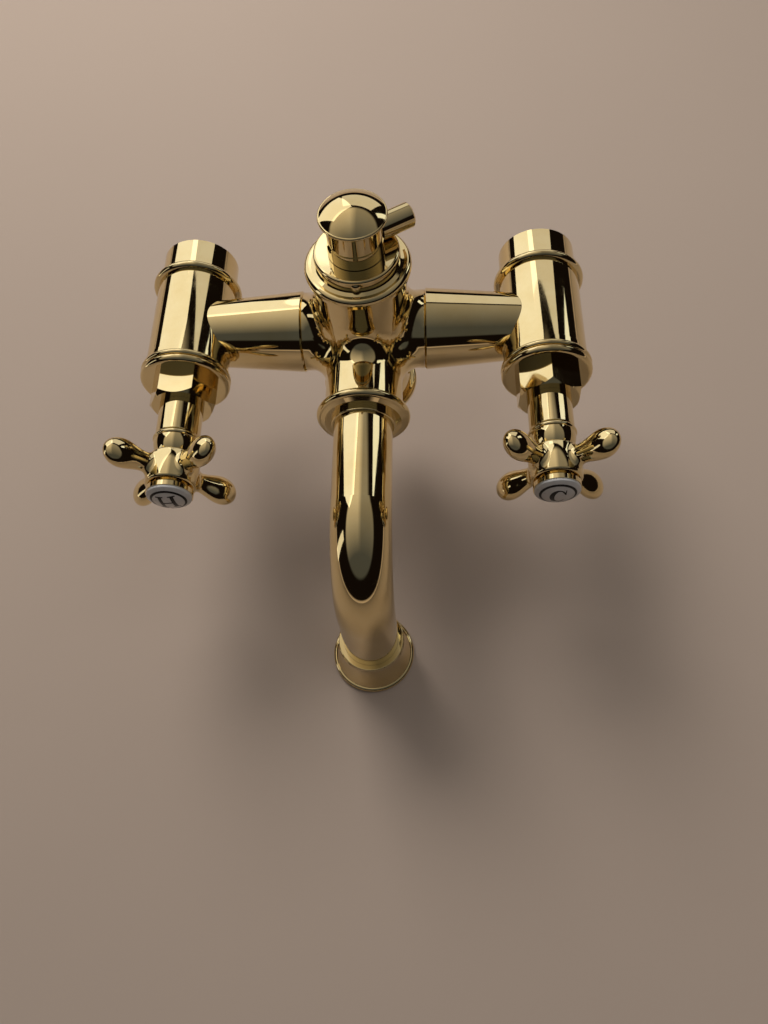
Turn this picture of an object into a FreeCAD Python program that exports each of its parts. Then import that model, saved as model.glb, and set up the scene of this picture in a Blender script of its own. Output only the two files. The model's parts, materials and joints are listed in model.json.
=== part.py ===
import FreeCAD, Part
import math
import os
from types import SimpleNamespace

import Sketcher

# Wall-mounted bath mixer with two cross handles, a curved spout and a diverter on top.
# Lengths are millimetres. The origin lies midway between the two wall inlets, on the wall
# plane. X points right for the bather, Y into the wall and Z up, so the bather is at -Y.

Vector = FreeCAD.Vector
Rotation = FreeCAD.Rotation

# Driving sizes. Reach is a distance from the wall plane and height is above the inlet axis.
SIZES = {
    # Layout
    "inlet_spacing": 150.0,
    "arm_reach": 40.0,
    "slip_gap": 0.05,
    "running_gap": 0.05,
    "turning_gap": 0.3,
    # Inlet union nut and its washer and strainer
    "nut_radius": 16.3,
    "nut_length": 14.2,
    "nut_edge": 0.8,
    "nut_lip": 3.0,
    "inlet_thread_radius": 12.06,
    "inlet_thread_length": 7.0,
    "nut_undercut_radius": 12.6,
    "washer_radius": 11.8,
    "washer_bore": 6.8,
    "washer_thickness": 2.0,
    "strainer_wall": 0.6,
    "strainer_length": 7.0,
    "strainer_hole_radius": 0.8,
    "strainer_hole_circle": 4.4,
    # Side body
    "tail_radius": 10.4,
    "tail_flange_radius": 11.8,
    "tail_flange_thickness": 2.0,
    "tail_bore": 7.5,
    "back_bead_gap": 0.35,
    "back_bead_radius": 19.2,
    "back_bead_half": 1.75,
    "body_radius": 17.0,
    "body_step_place": 8.5,
    "body_step_height": 0.3,
    "front_bead_place": 4.5,
    "front_bead_radius": 18.6,
    "front_bead_half": 1.3,
    "rim_radius": 18.5,
    "rim_width": 2.6,
    "rim_edge": 0.5,
    "rim_dome": 2.0,
    "body_reach": 66.9,
    "chamber_length": 18.0,
    "chamber_radius": 12.3,
    "headwork_thread_length": 14.9,
    "headwork_thread_radius": 10.5,
    # Headwork with its ceramic discs
    "hex_across_flats": 24.0,
    "hex_length": 11.3,
    "hex_chamfer": 1.0,
    "nose_radius": 9.4,
    "nose_bore": 7.95,
    "nose_gap": 0.6,
    "nose_end_wall": 2.0,
    "window_width": 8.0,
    "window_length": 6.5,
    "neck_boss_radius": 6.4,
    "neck_boss_length": 9.0,
    "disc_radius": 7.85,
    "disc_thickness": 2.8,
    "disc_port_inner": 2.2,
    "disc_port_outer": 6.2,
    "seal_thickness": 2.0,
    "seal_radius": 7.8,
    "seal_bore": 6.6,
    "spindle_radius": 4.0,
    "drive_flange_radius": 7.0,
    "drive_flange_thickness": 2.8,
    "tongue_width": 2.6,
    "tongue_depth": 1.2,
    "ring_groove_place": 3.1,
    "ring_groove_width": 2.0,
    "ring_groove_depth": 1.2,
    "ring_wire": 0.6,
    # Shroud between the headwork and the handle
    "shroud_radius": 8.9,
    "shroud_edge": 0.4,
    "shroud_length": 14.75,
    # Cross handle
    "handle_rest_angle": 45.0,
    "skirt_ring_radius": 9.6,
    "skirt_ring_half": 1.0,
    "skirt_radius": 9.1,
    "skirt_length": 6.0,
    "waist_radius": 7.6,
    "waist_length": 0.9,
    "hub_radius": 10.1,
    "hub_crown": 0.35,
    "hub_edge": 1.3,
    "hub_length": 13.3,
    "bezel_neck_radius": 7.0,
    "bezel_radius": 9.25,
    "bezel_slope": 0.3,
    "bezel_neck_length": 1.1,
    "bezel_length": 2.2,
    "well_radius": 5.6,
    "well_depth": 9.0,
    "square_length": 13.4,
    "square_across_flats": 6.0,
    "arm_root_fillet": 3.0,
    "arm_root_spread": 0.5,
    "arm_neck_across": 3.2,
    "arm_neck_along": 4.1,
    "lobe_across": 4.4,
    "lobe_along": 6.0,
    "arm_neck_place": 12.7,
    "lobe_place": 22.2,
    "lobe_end": 29.1,
    "handle_arm_place": 6.2,
    # Index disc and handle screw
    "index_radius": 8.85,
    "index_thickness": 3.5,
    "index_dome": 16.6,
    "index_edge": 0.7,
    "index_plug_length": 4.0,
    "index_plug_bore": 4.2,
    "screw_head_radius": 3.6,
    "screw_head_height": 2.2,
    "screw_radius": 2.0,
    "screw_slot_width": 1.0,
    "screw_length": 7.5,
    "screw_hole_depth": 9.0,
    # Arms
    "arm_inner_place": 25.2,
    "arm_inner_radius": 17.0,
    "arm_axis_radius": 13.1,
    "arm_edge": 0.9,
    "arm_spigot_radius": 9.0,
    "arm_bore": 5.8,
    "arm_outer_engagement": 4.0,
    "arm_inner_engagement": 6.4,
    # Centre body
    "barrel_radius": 18.8,
    "barrel_top": 38.4,
    "barrel_bottom": -36.6,
    "barrel_rim_radius": 20.4,
    "top_rim_width": 1.5,
    "foot_radius": 21.3,
    "foot_half": 1.5,
    "boss_radius": 16.4,
    "boss_overrun": 5.0,
    "boss_fillet": 10.0,
    "spout_height": -2.2,
    "spout_boss_radius": 15.9,
    "spout_boss_reach": 79.4,
    "chamber_bore": 14.0,
    "chamber_floor": -24.0,
    "bonnet_thread_radius": 15.5,
    "bonnet_thread_length": 11.0,
    "collar_socket_radius": 14.0,
    "collar_socket_depth": 9.2,
    "spout_socket_depth": 17.2,
    "spout_port_radius": 6.5,
    "nipple_socket_radius": 10.5,
    "nipple_socket_depth": 6.5,
    "drain_bore": 7.5,
    # Shower outlet under the barrel
    "nipple_radius": 10.4,
    "nipple_length": 12.0,
    "nipple_flange_radius": 13.5,
    "nipple_flange_thickness": 3.0,
    "nipple_chamfer": 1.0,
    # Diverter
    "bonnet_radius": 20.9,
    "bonnet_edge": 0.6,
    "bonnet_slope": 2.0,
    "bonnet_thickness": 2.75,
    "bonnet_shoulder_radius": 18.0,
    "bonnet_rise": 0.6,
    "bonnet_plug_length": 1.0,
    "plate_radius": 16.6,
    "plate_thickness": 5.35,
    "plate_edge": 1.2,
    "plate_screw_rise": 2.4,
    "plate_screw_head_radius": 1.9,
    "plate_screw_dome": 0.9,
    "plate_screw_radius": 1.2,
    "plate_screw_length": 4.0,
    "shaft_radius": 6.0,
    "shaft_square": 8.0,
    "shaft_square_length": 10.5,
    "sleeve_bore": 11.0,
    "sleeve_floor_thickness": 2.5,
    "sleeve_slot_width": 12.0,
    "sleeve_slot_depth": 1.9,
    "sleeve_window_drop": 5.5,
    "sleeve_window_length": 9.0,
    "seal_ring_height": 1.6,
    "rotor_wall": 2.4,
    "rotor_floor_thickness": 2.5,
    "rotor_top_gap": 1.0,
    "rotor_head_thickness": 3.0,
    "drain_port_inner": 2.5,
    "drain_port_outer": 7.2,
    "stem_band_radius": 10.9,
    "stem_band_length": 5.9,
    "stem_radius": 10.5,
    "stem_length": 14.1,
    "stem_socket_radius": 5.0,
    "stem_socket_depth": 3.0,
    "cap_radius": 12.9,
    "cap_rim_rise": 2.6,
    "cap_rim_half": 0.7,
    "cap_crown": 4.3,
    "lever_angle": 29.0,
    "lever_rise": 5.4,
    "lever_radius": 4.8,
    "lever_end": 23.6,
    "lever_edge": 0.6,
    "lever_seat_depth": 0.5,
    "lever_spigot_radius": 3.0,
    "lever_spigot_start": 7.4,
    "grub_radius": 1.5,
    "grub_length": 4.0,
    # Spout
    "tube_radius": 11.95,
    "tube_wall": 2.5,
    "bend_radius": 30.0,
    "outlet_reach": 155.0,
    "collar_bead_place": 3.3,
    "collar_bead_radius": 19.1,
    "collar_bead_half": 1.8,
    "collar_face_place": 2.7,
    "collar_face_radius": 15.6,
    "gland_radius": 13.0,
    "gland_length": 2.2,
    "gland_edge": 0.5,
    "collar_plug_length": 7.2,
    "tube_seal_wire": 0.9,
    "bell_height": 20.4,
    "outlet_collar_radius": 14.3,
    "outlet_collar_height": 2.4,
    "outlet_collar_edge": 0.5,
    "outlet_throat_radius": 13.7,
    "outlet_lip_radius": 18.3,
    "outlet_lip_half": 1.3,
    "outlet_bottom": -88.0,
    "outlet_seat_depth": 9.4,
    "aerator_radius": 13.2,
    "aerator_wall": 1.6,
    "aerator_length": 9.6,
    "aerator_rib_width": 1.2,
    "insert_hole_radius": 0.9,
    "insert_outer_circle": 9.0,
    "insert_inner_circle": 5.0,
}

# Regular hexagon: centre to corner over half the distance across flats.
HEX_CORNER = 1 / math.cos(math.pi / 6)
# Turn that sets a square's flats level.
SQUARE_TURN = 45
QUARTER_TURN = 90
HALF_TURN = 180
FULL_TURN = 360
# Turn from a hexagon's corner to the middle of its flat.
HALF_FLAT_TURN = 30
# A cut through a wall is this many times as deep as the wall, and one through the whole
# piece this many times as deep as its radius.
CLEAR = 1.2
CLEAR_THROUGH = 2.4
# Half the angle that a port takes up in a ceramic disc, and in the diverter's floors.
DISC_PORT_HALF_ANGLE = 38
DRAIN_PORT_HALF_ANGLE = 40
# A handle arm between neck and lobe: share of the way, of the depth and of the width.
ARM_SWELL = ((0.35, 0.36, 0.34), (0.7, 0.84, 0.82))
# Places on the quarter ellipse that closes the arm's tip, in degrees.
ARM_TIP_ANGLES = (35, 60, 76, 86)
# Holes in each ring of the aerator insert.
INSERT_OUTER_HOLES = 12
INSERT_INNER_HOLES = 6
# The arm starts inside the hub, at this share of the hub's radius.
ARM_START = 0.8


class Size:
    """A length that carries its number and the sheet formula that gives it."""

    def __init__(self, value, formula):
        self.value = float(value)
        self.formula = formula

    def __add__(self, other):
        other = as_size(other)
        return Size(self.value + other.value, f"({self.formula} + {other.formula})")

    def __sub__(self, other):
        other = as_size(other)
        return Size(self.value - other.value, f"({self.formula} - {other.formula})")

    def __mul__(self, factor):
        return Size(self.value * factor, f"({self.formula} * {factor!r})")

    def __truediv__(self, divisor):
        return Size(self.value / divisor, f"({self.formula} / {divisor!r})")

    def __radd__(self, other):
        return as_size(other) + self

    def __rsub__(self, other):
        return as_size(other) - self

    def __neg__(self):
        return Size(-self.value, f"(-{self.formula})")


def as_size(thing):
    if isinstance(thing, Size):
        return thing
    return Size(thing, repr(float(thing)))


def write_sheet(doc, sizes):
    """Put every driving size in its own named cell."""
    sheet = doc.addObject("Spreadsheet::Sheet", "Sizes")
    for row, (name, value) in enumerate(sizes.items(), start=1):
        sheet.set(f"A{row}", name)
        sheet.set(f"B{row}", str(value))
        sheet.setAlias(f"B{row}", name)
    doc.recompute()
    return sheet


def read_sizes(sheet, names):
    """Give each cell back as a number that remembers its cell."""
    cells = {name: Size(sheet.get(name), f"Sizes.{name}") for name in names}
    return SimpleNamespace(**cells)


doc = FreeCAD.newDocument("bath_mixer")
sheet = write_sheet(doc, SIZES)
mm = read_sizes(sheet, SIZES)
made = []


class Outline:
    """The corners of a closed outline, and which of its sides are arcs."""

    def __init__(self):
        self.points = []
        self.arcs = {}

    def to(self, across, along):
        self.points.append((as_size(across), as_size(along)))
        return self

    def arc_to(self, centre, turn, across, along):
        """Arc to the next corner, anticlockwise where turn is 1 and clockwise where it is -1."""
        across_centre, along_centre = centre
        self.arcs[len(self.points) - 1] = (as_size(across_centre), as_size(along_centre), turn)
        return self.to(across, along)

    def close_with_arc(self, centre, turn):
        across_centre, along_centre = centre
        self.arcs[len(self.points) - 1] = (as_size(across_centre), as_size(along_centre), turn)
        return self

    def bead(self, root, crown, middle, half):
        """Half-round bead on an outer wall that is drawn along its axis."""
        shoulder = crown - half
        stands_off = shoulder.value - root.value > 0.01
        if stands_off:
            self.to(root, middle - half)
        self.to(shoulder, middle - half)
        self.arc_to((shoulder, middle), 1, shoulder, middle + half)
        return self.to(root, middle + half) if stands_off else self

    def round_corner(self, across, along, radius):
        """Round an outer corner that turns inwards, on a wall drawn along its axis."""
        self.to(across, along - radius)
        return self.arc_to((across - radius, along - radius), 1, across - radius, along)

    def round_start(self, across, along, radius):
        """Round an outer corner where the outline turns from an end face to a wall."""
        self.to(across - radius, along)
        return self.arc_to((across - radius, along + radius), 1, across, along + radius)


def new_body(label):
    body = doc.addObject("PartDesign::Body", label)
    body.Label = label
    made.append(body)
    return body


def sketch_on(body, name, role, lift=None):
    """Sketch on one of the body's own planes, raised along that plane's normal."""
    plane = next(item for item in body.Origin.OriginFeatures if item.Role == role)
    sketch = body.newObject("Sketcher::SketchObject", name)
    sketch.AttachmentSupport = (plane, "")
    sketch.MapMode = "FlatFace"
    if lift is not None:
        sketch.setExpression("AttachmentOffset.Base.z", as_size(lift).formula)
    return sketch


def pin_point(sketch, side, end, point):
    """Tie one point of a sketch to the sheet, measured from the sketch's origin."""
    for kind, size, axis in (("DistanceX", point[0], -2), ("DistanceY", point[1], -1)):
        if size.value == 0:
            sketch.addConstraint(Sketcher.Constraint("PointOnObject", side, end, axis))
            continue
        index = sketch.addConstraint(Sketcher.Constraint(kind, -1, 1, side, end, size.value))
        sketch.setExpression(f"Constraints[{index}]", size.formula)


def pin_arc_centre(sketch, side, start, end, centre):
    """Fix the one freedom an arc has left when both of its ends are held."""
    upright = abs(end.y - start.y) > abs(end.x - start.x)
    kind, size, axis = ("DistanceX", centre[0], -2) if upright else ("DistanceY", centre[1], -1)
    if size.value == 0:
        sketch.addConstraint(Sketcher.Constraint("PointOnObject", side, 3, axis))
        return
    index = sketch.addConstraint(Sketcher.Constraint(kind, -1, 1, side, 3, size.value))
    sketch.setExpression(f"Constraints[{index}]", size.formula)


def draw(sketch, outline):
    """Draw a closed outline whose every corner follows the sheet."""
    corners = [Vector(across.value, along.value, 0) for across, along in outline.points]
    sides = []
    for index, start in enumerate(corners):
        end = corners[(index + 1) % len(corners)]
        if index not in outline.arcs:
            side = sketch.addGeometry(Part.LineSegment(start, end), False)
            sides.append((side, 1, 2))
            continue
        across, along, turn = outline.arcs[index]
        centre = Vector(across.value, along.value, 0)
        first, last = (start, end) if turn > 0 else (end, start)
        circle = Part.Circle(centre, Vector(0, 0, 1), centre.distanceToPoint(start))
        begin = math.atan2(first.y - centre.y, first.x - centre.x)
        finish = math.atan2(last.y - centre.y, last.x - centre.x)
        side = sketch.addGeometry(Part.ArcOfCircle(circle, begin, finish), False)
        sides.append((side, 1, 2) if turn > 0 else (side, 2, 1))
    for index, (side, head, tail) in enumerate(sides):
        following, next_head, _ = sides[(index + 1) % len(sides)]
        sketch.addConstraint(Sketcher.Constraint("Coincident", side, tail, following, next_head))
        pin_point(sketch, side, head, outline.points[index])
        if index in outline.arcs:
            end = corners[(index + 1) % len(corners)]
            pin_arc_centre(sketch, side, corners[index], end, outline.arcs[index])
    return sketch


def draw_circle(sketch, radius, across=0, along=0):
    radius = as_size(radius)
    point = (as_size(across), as_size(along))
    circle = Part.Circle(Vector(point[0].value, point[1].value, 0), Vector(0, 0, 1), radius.value)
    side = sketch.addGeometry(circle, False)
    pin_point(sketch, side, 3, point)
    index = sketch.addConstraint(Sketcher.Constraint("Radius", side, radius.value))
    sketch.setExpression(f"Constraints[{index}]", radius.formula)
    return sketch


def draw_rectangle(sketch, low, high):
    corners = Outline().to(low[0], low[1]).to(high[0], low[1]).to(high[0], high[1])
    return draw(sketch, corners.to(low[0], high[1]))


def draw_polygon(sketch, across_flats, sides, turn=0.0):
    """Regular polygon about the sketch's origin, its corners following the width across flats."""
    corner = across_flats / (2 * math.cos(math.pi / sides))
    shape = Outline()
    for index in range(sides):
        angle = 2 * math.pi * index / sides + math.radians(turn)
        across = round(math.cos(angle), 12)
        along = round(math.sin(angle), 12)
        shape.to(corner * across if across else 0, corner * along if along else 0)
    return draw(sketch, shape)


def draw_kidney(sketch, inner, outer, middle_angle, half_angle):
    """Sector-shaped port between two radii."""
    low = math.radians(middle_angle - half_angle)
    high = math.radians(middle_angle + half_angle)
    shape = Outline()
    shape.to(inner * math.cos(low), inner * math.sin(low))
    shape.to(outer * math.cos(low), outer * math.sin(low))
    shape.arc_to((0, 0), 1, outer * math.cos(high), outer * math.sin(high))
    shape.to(inner * math.cos(high), inner * math.sin(high))
    shape.close_with_arc((0, 0), -1)
    return draw_free_arcs(sketch, shape)


def draw_free_arcs(sketch, outline):
    """Draw an outline whose arcs all share the sketch's origin as their centre."""
    corners = [Vector(across.value, along.value, 0) for across, along in outline.points]
    sides = []
    for index, start in enumerate(corners):
        end = corners[(index + 1) % len(corners)]
        if index not in outline.arcs:
            sides.append((sketch.addGeometry(Part.LineSegment(start, end), False), 1, 2))
            continue
        turn = outline.arcs[index][2]
        first, last = (start, end) if turn > 0 else (end, start)
        circle = Part.Circle(Vector(), Vector(0, 0, 1), start.Length)
        begin = math.atan2(first.y, first.x)
        finish = math.atan2(last.y, last.x)
        side = sketch.addGeometry(Part.ArcOfCircle(circle, begin, finish), False)
        sides.append((side, 1, 2) if turn > 0 else (side, 2, 1))
    for index, (side, head, tail) in enumerate(sides):
        following, next_head, _ = sides[(index + 1) % len(sides)]
        sketch.addConstraint(Sketcher.Constraint("Coincident", side, tail, following, next_head))
        pin_point(sketch, side, head, outline.points[index])
    return sketch


def revolve(body, name, outline, role="XY_Plane", axis="V_Axis", cut=False):
    """Turn an outline about one axis of its sketch, to add or to cut."""
    sketch = draw(sketch_on(body, f"{name}_outline", role), outline)
    kind = "PartDesign::Groove" if cut else "PartDesign::Revolution"
    feature = body.newObject(kind, name)
    feature.Profile = sketch
    feature.ReferenceAxis = (sketch, [axis])
    feature.Angle = FULL_TURN
    return feature


def extrude(body, name, sketch, length, backwards=False, both_ways=False, cut=False):
    """Pad or pocket a sketch. A pocket runs against its sketch's normal unless backwards."""
    feature = body.newObject("PartDesign::Pocket" if cut else "PartDesign::Pad", name)
    feature.Profile = sketch
    feature.setExpression("Length", as_size(length).formula)
    feature.Reversed = backwards
    if both_ways:
        feature.SideType = "Symmetric"
    return feature


def turned_piece(label, outline, role="XY_Plane"):
    body = new_body(label)
    revolve(body, f"{label}_turning", outline, role)
    return body


def place(body, across=0, forward=0, up=0, turn=None):
    """Set where a body stands, its offsets following the sheet."""
    offsets = {"x": as_size(across), "y": as_size(forward), "z": as_size(up)}
    base = Vector(offsets["x"].value, offsets["y"].value, offsets["z"].value)
    body.Placement = FreeCAD.Placement(base, turn or Rotation())
    for axis, size in offsets.items():
        if size.value != 0:
            body.setExpression(f"Placement.Base.{axis}", size.formula)
    return body


FACE_BATHER = Rotation(Vector(0, 0, 1), HALF_TURN)


def place_side(body, side, turn=None):
    """Stand a piece on a side axis, its own Y running from the wall towards the bather."""
    whole = FACE_BATHER if turn is None else FACE_BATHER * turn
    return place(body, across=mm.inlet_spacing * (0.5 * side), turn=whole)


def place_barrel(body, turn=None):
    return place(body, forward=-mm.arm_reach, turn=turn)


def tube_outline(bore, outer, low, high):
    return Outline().to(bore, low).to(outer, low).to(outer, high).to(bore, high)


# Places that several pieces share, worked out from the driving sizes.
tail_flange_front = mm.nut_length - mm.nut_lip
tail_flange_back = tail_flange_front - mm.tail_flange_thickness
washer_back = tail_flange_back - mm.washer_thickness
back_bead_middle = mm.nut_length + mm.back_bead_gap + mm.back_bead_half
chamber_front = mm.body_reach - mm.headwork_thread_length
seat_face = chamber_front - mm.chamber_length
fixed_disc_back = seat_face + mm.seal_thickness
moving_disc_back = fixed_disc_back + mm.disc_thickness + mm.running_gap
drive_flange_back = moving_disc_back + mm.disc_thickness + mm.slip_gap
hex_front = mm.body_reach + mm.hex_length
shroud_back = hex_front + mm.slip_gap
skirt_back = shroud_back + mm.shroud_length + mm.turning_gap
skirt_ring_front = skirt_back + mm.skirt_ring_half * 2
skirt_front = skirt_ring_front + mm.skirt_length
hub_back = skirt_front + mm.waist_length
hub_front = hub_back + mm.hub_length
bezel_neck_front = hub_front + mm.bezel_neck_length
bezel_front = bezel_neck_front + mm.bezel_length
well_floor = bezel_front - mm.well_depth
square_back = well_floor - mm.square_length
square_front = well_floor - mm.turning_gap
port_depth = mm.body_radius - mm.arm_outer_engagement
# Heights on the barrel's axis.
bonnet_low = mm.barrel_top + mm.slip_gap
bonnet_high = bonnet_low + mm.bonnet_thickness
bonnet_seat = bonnet_high + mm.bonnet_rise
bonnet_thread_low = mm.barrel_top - mm.bonnet_thread_length
plate_low = bonnet_seat + mm.slip_gap
plate_high = plate_low + mm.plate_thickness
plate_screw_height = bonnet_seat + mm.plate_screw_rise
stem_low = plate_high + mm.turning_gap
stem_high = stem_low + mm.stem_length
lever_height = stem_low + mm.lever_rise
shaft_high = stem_low + mm.shaft_square_length
plug_low = bonnet_thread_low - mm.bonnet_plug_length
sleeve_high = plug_low - mm.seal_ring_height - mm.slip_gap * 2
window_high = sleeve_high - mm.sleeve_window_drop
window_low = window_high - mm.sleeve_window_length
# Stations on the spout.
collar_back = mm.spout_boss_reach + mm.slip_gap
tube_root = mm.spout_boss_reach - mm.spout_socket_depth + mm.slip_gap
outlet_top = mm.outlet_bottom + mm.bell_height
outlet_seat = outlet_top - mm.outlet_seat_depth


def make_inlet_nut(name, side):
    """Round union nut that screws on the wall elbow and holds the body's tail."""
    shape = Outline()
    shape.to(mm.inlet_thread_radius, 0)
    shape.to(mm.nut_radius - mm.nut_edge, 0)
    shape.to(mm.nut_radius, mm.nut_edge)
    shape.to(mm.nut_radius, mm.nut_length)
    shape.to(mm.tail_radius + mm.slip_gap, mm.nut_length)
    shape.to(mm.tail_radius + mm.slip_gap, tail_flange_front + mm.slip_gap)
    shape.to(mm.nut_undercut_radius, tail_flange_front + mm.slip_gap)
    shape.to(mm.nut_undercut_radius, mm.inlet_thread_length)
    shape.to(mm.inlet_thread_radius, mm.inlet_thread_length)
    return place_side(turned_piece(f"{name}_inlet_nut", shape), side)


def make_inlet_washer(name, side):
    shape = tube_outline(mm.washer_bore, mm.washer_radius, washer_back, tail_flange_back)
    return place_side(turned_piece(f"{name}_inlet_washer", shape), side)


def make_inlet_strainer(name, side):
    """Thin cup with a perforated floor, held in the tail bore by the washer."""
    outer = mm.tail_bore - mm.slip_gap
    floor = tail_flange_back + mm.strainer_length
    shape = Outline()
    shape.to(outer - mm.strainer_wall, tail_flange_back)
    shape.to(outer, tail_flange_back)
    shape.to(outer, floor)
    shape.to(0, floor)
    shape.to(0, floor - mm.strainer_wall)
    shape.to(outer - mm.strainer_wall, floor - mm.strainer_wall)
    body = turned_piece(f"{name}_inlet_strainer", shape)
    holes = sketch_on(body, f"{name}_strainer_hole", "XZ_Plane", -floor)
    draw_circle(holes, mm.strainer_hole_radius, mm.strainer_hole_circle)
    hole = extrude(body, f"{name}_strainer_cut", holes, mm.strainer_wall * 2, True, True, True)
    doc.recompute()
    pattern = body.newObject("PartDesign::PolarPattern", f"{name}_strainer_holes")
    pattern.Originals = [hole]
    pattern.Axis = (holes, ["N_Axis"])
    pattern.Angle = FULL_TURN
    pattern.Occurrences = 8
    body.Tip = pattern
    return place_side(body, side)


def make_side_body(name, side):
    """Turned valve body, from its flanged tail at the wall to the front rim."""
    rim_back = mm.body_reach - mm.rim_width
    stepped = mm.body_radius + mm.body_step_height
    shape = Outline()
    shape.to(mm.tail_bore, tail_flange_back)
    shape.to(mm.tail_flange_radius, tail_flange_back)
    shape.to(mm.tail_flange_radius, tail_flange_front)
    shape.to(mm.tail_radius, tail_flange_front)
    shape.bead(mm.tail_radius, mm.back_bead_radius, back_bead_middle, mm.back_bead_half)
    shape.points[-1] = (mm.body_radius, back_bead_middle + mm.back_bead_half)
    shape.to(mm.body_radius, mm.body_reach - mm.body_step_place)
    shape.to(stepped, mm.body_reach - mm.body_step_place)
    bead_middle = mm.body_reach - mm.front_bead_place
    shape.bead(stepped, mm.front_bead_radius, bead_middle, mm.front_bead_half)
    shape.to(stepped, rim_back)
    shape.round_start(mm.rim_radius, rim_back, mm.rim_edge)
    shape.round_corner(mm.rim_radius, mm.body_reach, mm.rim_dome)
    shape.to(mm.headwork_thread_radius, mm.body_reach)
    shape.to(mm.headwork_thread_radius, chamber_front)
    shape.to(mm.chamber_radius, chamber_front)
    shape.to(mm.chamber_radius, seat_face)
    shape.to(mm.tail_bore, seat_face)
    body = turned_piece(f"{name}_side_body", shape)
    # The hot body's port faces its own -X and the cold body's faces +X.
    towards_centre = side > 0
    socket_sketch = sketch_on(body, f"{name}_socket_circle", "YZ_Plane", port_depth * side)
    draw_circle(socket_sketch, mm.arm_spigot_radius + mm.slip_gap, mm.arm_reach)
    extrude(body, f"{name}_arm_socket", socket_sketch, mm.body_radius, towards_centre, cut=True)
    port_sketch = sketch_on(body, f"{name}_port_circle", "YZ_Plane")
    draw_circle(port_sketch, mm.arm_bore, mm.arm_reach)
    extrude(body, f"{name}_port", port_sketch, mm.body_radius, towards_centre, cut=True)
    return place_side(body, side)


def make_headwork(name, side, hex_turn):
    """Hexagon-headed valve insert with a windowed nose that holds the ceramic discs."""
    spindle_bore = mm.spindle_radius + mm.running_gap
    nose_back = seat_face + mm.nose_gap
    thread = mm.headwork_thread_radius - mm.slip_gap
    neck_front = hex_front + mm.neck_boss_length
    shape = Outline()
    shape.to(mm.nose_bore, nose_back)
    shape.to(mm.nose_radius, nose_back)
    shape.to(mm.nose_radius, chamber_front)
    shape.to(thread, chamber_front)
    shape.to(thread, mm.body_reach)
    shape.to(mm.neck_boss_radius, mm.body_reach)
    shape.to(mm.neck_boss_radius, neck_front)
    shape.to(spindle_bore, neck_front)
    shape.to(spindle_bore, chamber_front - mm.nose_end_wall)
    shape.to(mm.nose_bore, chamber_front - mm.nose_end_wall)
    body = turned_piece(f"{name}_headwork", shape)
    # The hexagon is a pad bored for the spindle, standing on the body's front rim.
    hex_sketch = sketch_on(body, f"{name}_hexagon", "XZ_Plane", -mm.body_reach)
    draw_polygon(hex_sketch, mm.hex_across_flats, 6, hex_turn)
    draw_circle(hex_sketch, spindle_bore)
    extrude(body, f"{name}_hex_head", hex_sketch, mm.hex_length, backwards=True)
    # A cone at 45 degrees takes its corners off from the flats outwards.
    flat = mm.hex_across_flats / 2
    beyond = flat * HEX_CORNER + mm.hex_chamfer
    bevel = Outline()
    bevel.to(flat, hex_front)
    bevel.to(beyond, hex_front - (beyond - flat))
    bevel.to(beyond, hex_front)
    revolve(body, f"{name}_hex_bevel", bevel, cut=True)
    window_back = drive_flange_back + mm.slip_gap
    windows = sketch_on(body, f"{name}_window_outline", "YZ_Plane")
    half = mm.window_width / 2
    draw_rectangle(windows, (window_back, -half), (window_back + mm.window_length, half))
    extrude(body, f"{name}_windows", windows, mm.nose_radius * CLEAR_THROUGH, both_ways=True, cut=True)
    return place_side(body, side)


def make_seat_seal(name, side):
    shape = tube_outline(mm.seal_bore, mm.seal_radius, seat_face, fixed_disc_back)
    return place_side(turned_piece(f"{name}_seat_seal", shape), side)


def make_ceramic_disc(label, side, back, port_angle, slotted):
    """Ceramic disc with two sector ports, and a drive slot where the spindle's tongue goes."""
    front = back + mm.disc_thickness
    shape = Outline().to(0, back).to(mm.disc_radius, back).to(mm.disc_radius, front).to(0, front)
    body = turned_piece(label, shape)
    ports = sketch_on(body, f"{label}_port_outlines", "XZ_Plane", -front)
    draw_kidney(ports, mm.disc_port_inner, mm.disc_port_outer, port_angle, DISC_PORT_HALF_ANGLE)
    opposite = port_angle + HALF_TURN
    draw_kidney(ports, mm.disc_port_inner, mm.disc_port_outer, opposite, DISC_PORT_HALF_ANGLE)
    extrude(body, f"{label}_ports", ports, mm.disc_thickness * CLEAR_THROUGH, both_ways=True, cut=True)
    if slotted:
        slot = sketch_on(body, f"{label}_slot_outline", "XZ_Plane", -front)
        long_half = mm.disc_port_outer
        short_half = mm.tongue_width / 2 + mm.slip_gap
        draw_rectangle(slot, (-long_half, -short_half), (long_half, short_half))
        depth = (mm.tongue_depth + mm.slip_gap) * 2
        extrude(body, f"{label}_slot", slot, depth, both_ways=True, cut=True)
    return place_side(body, side)


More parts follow.
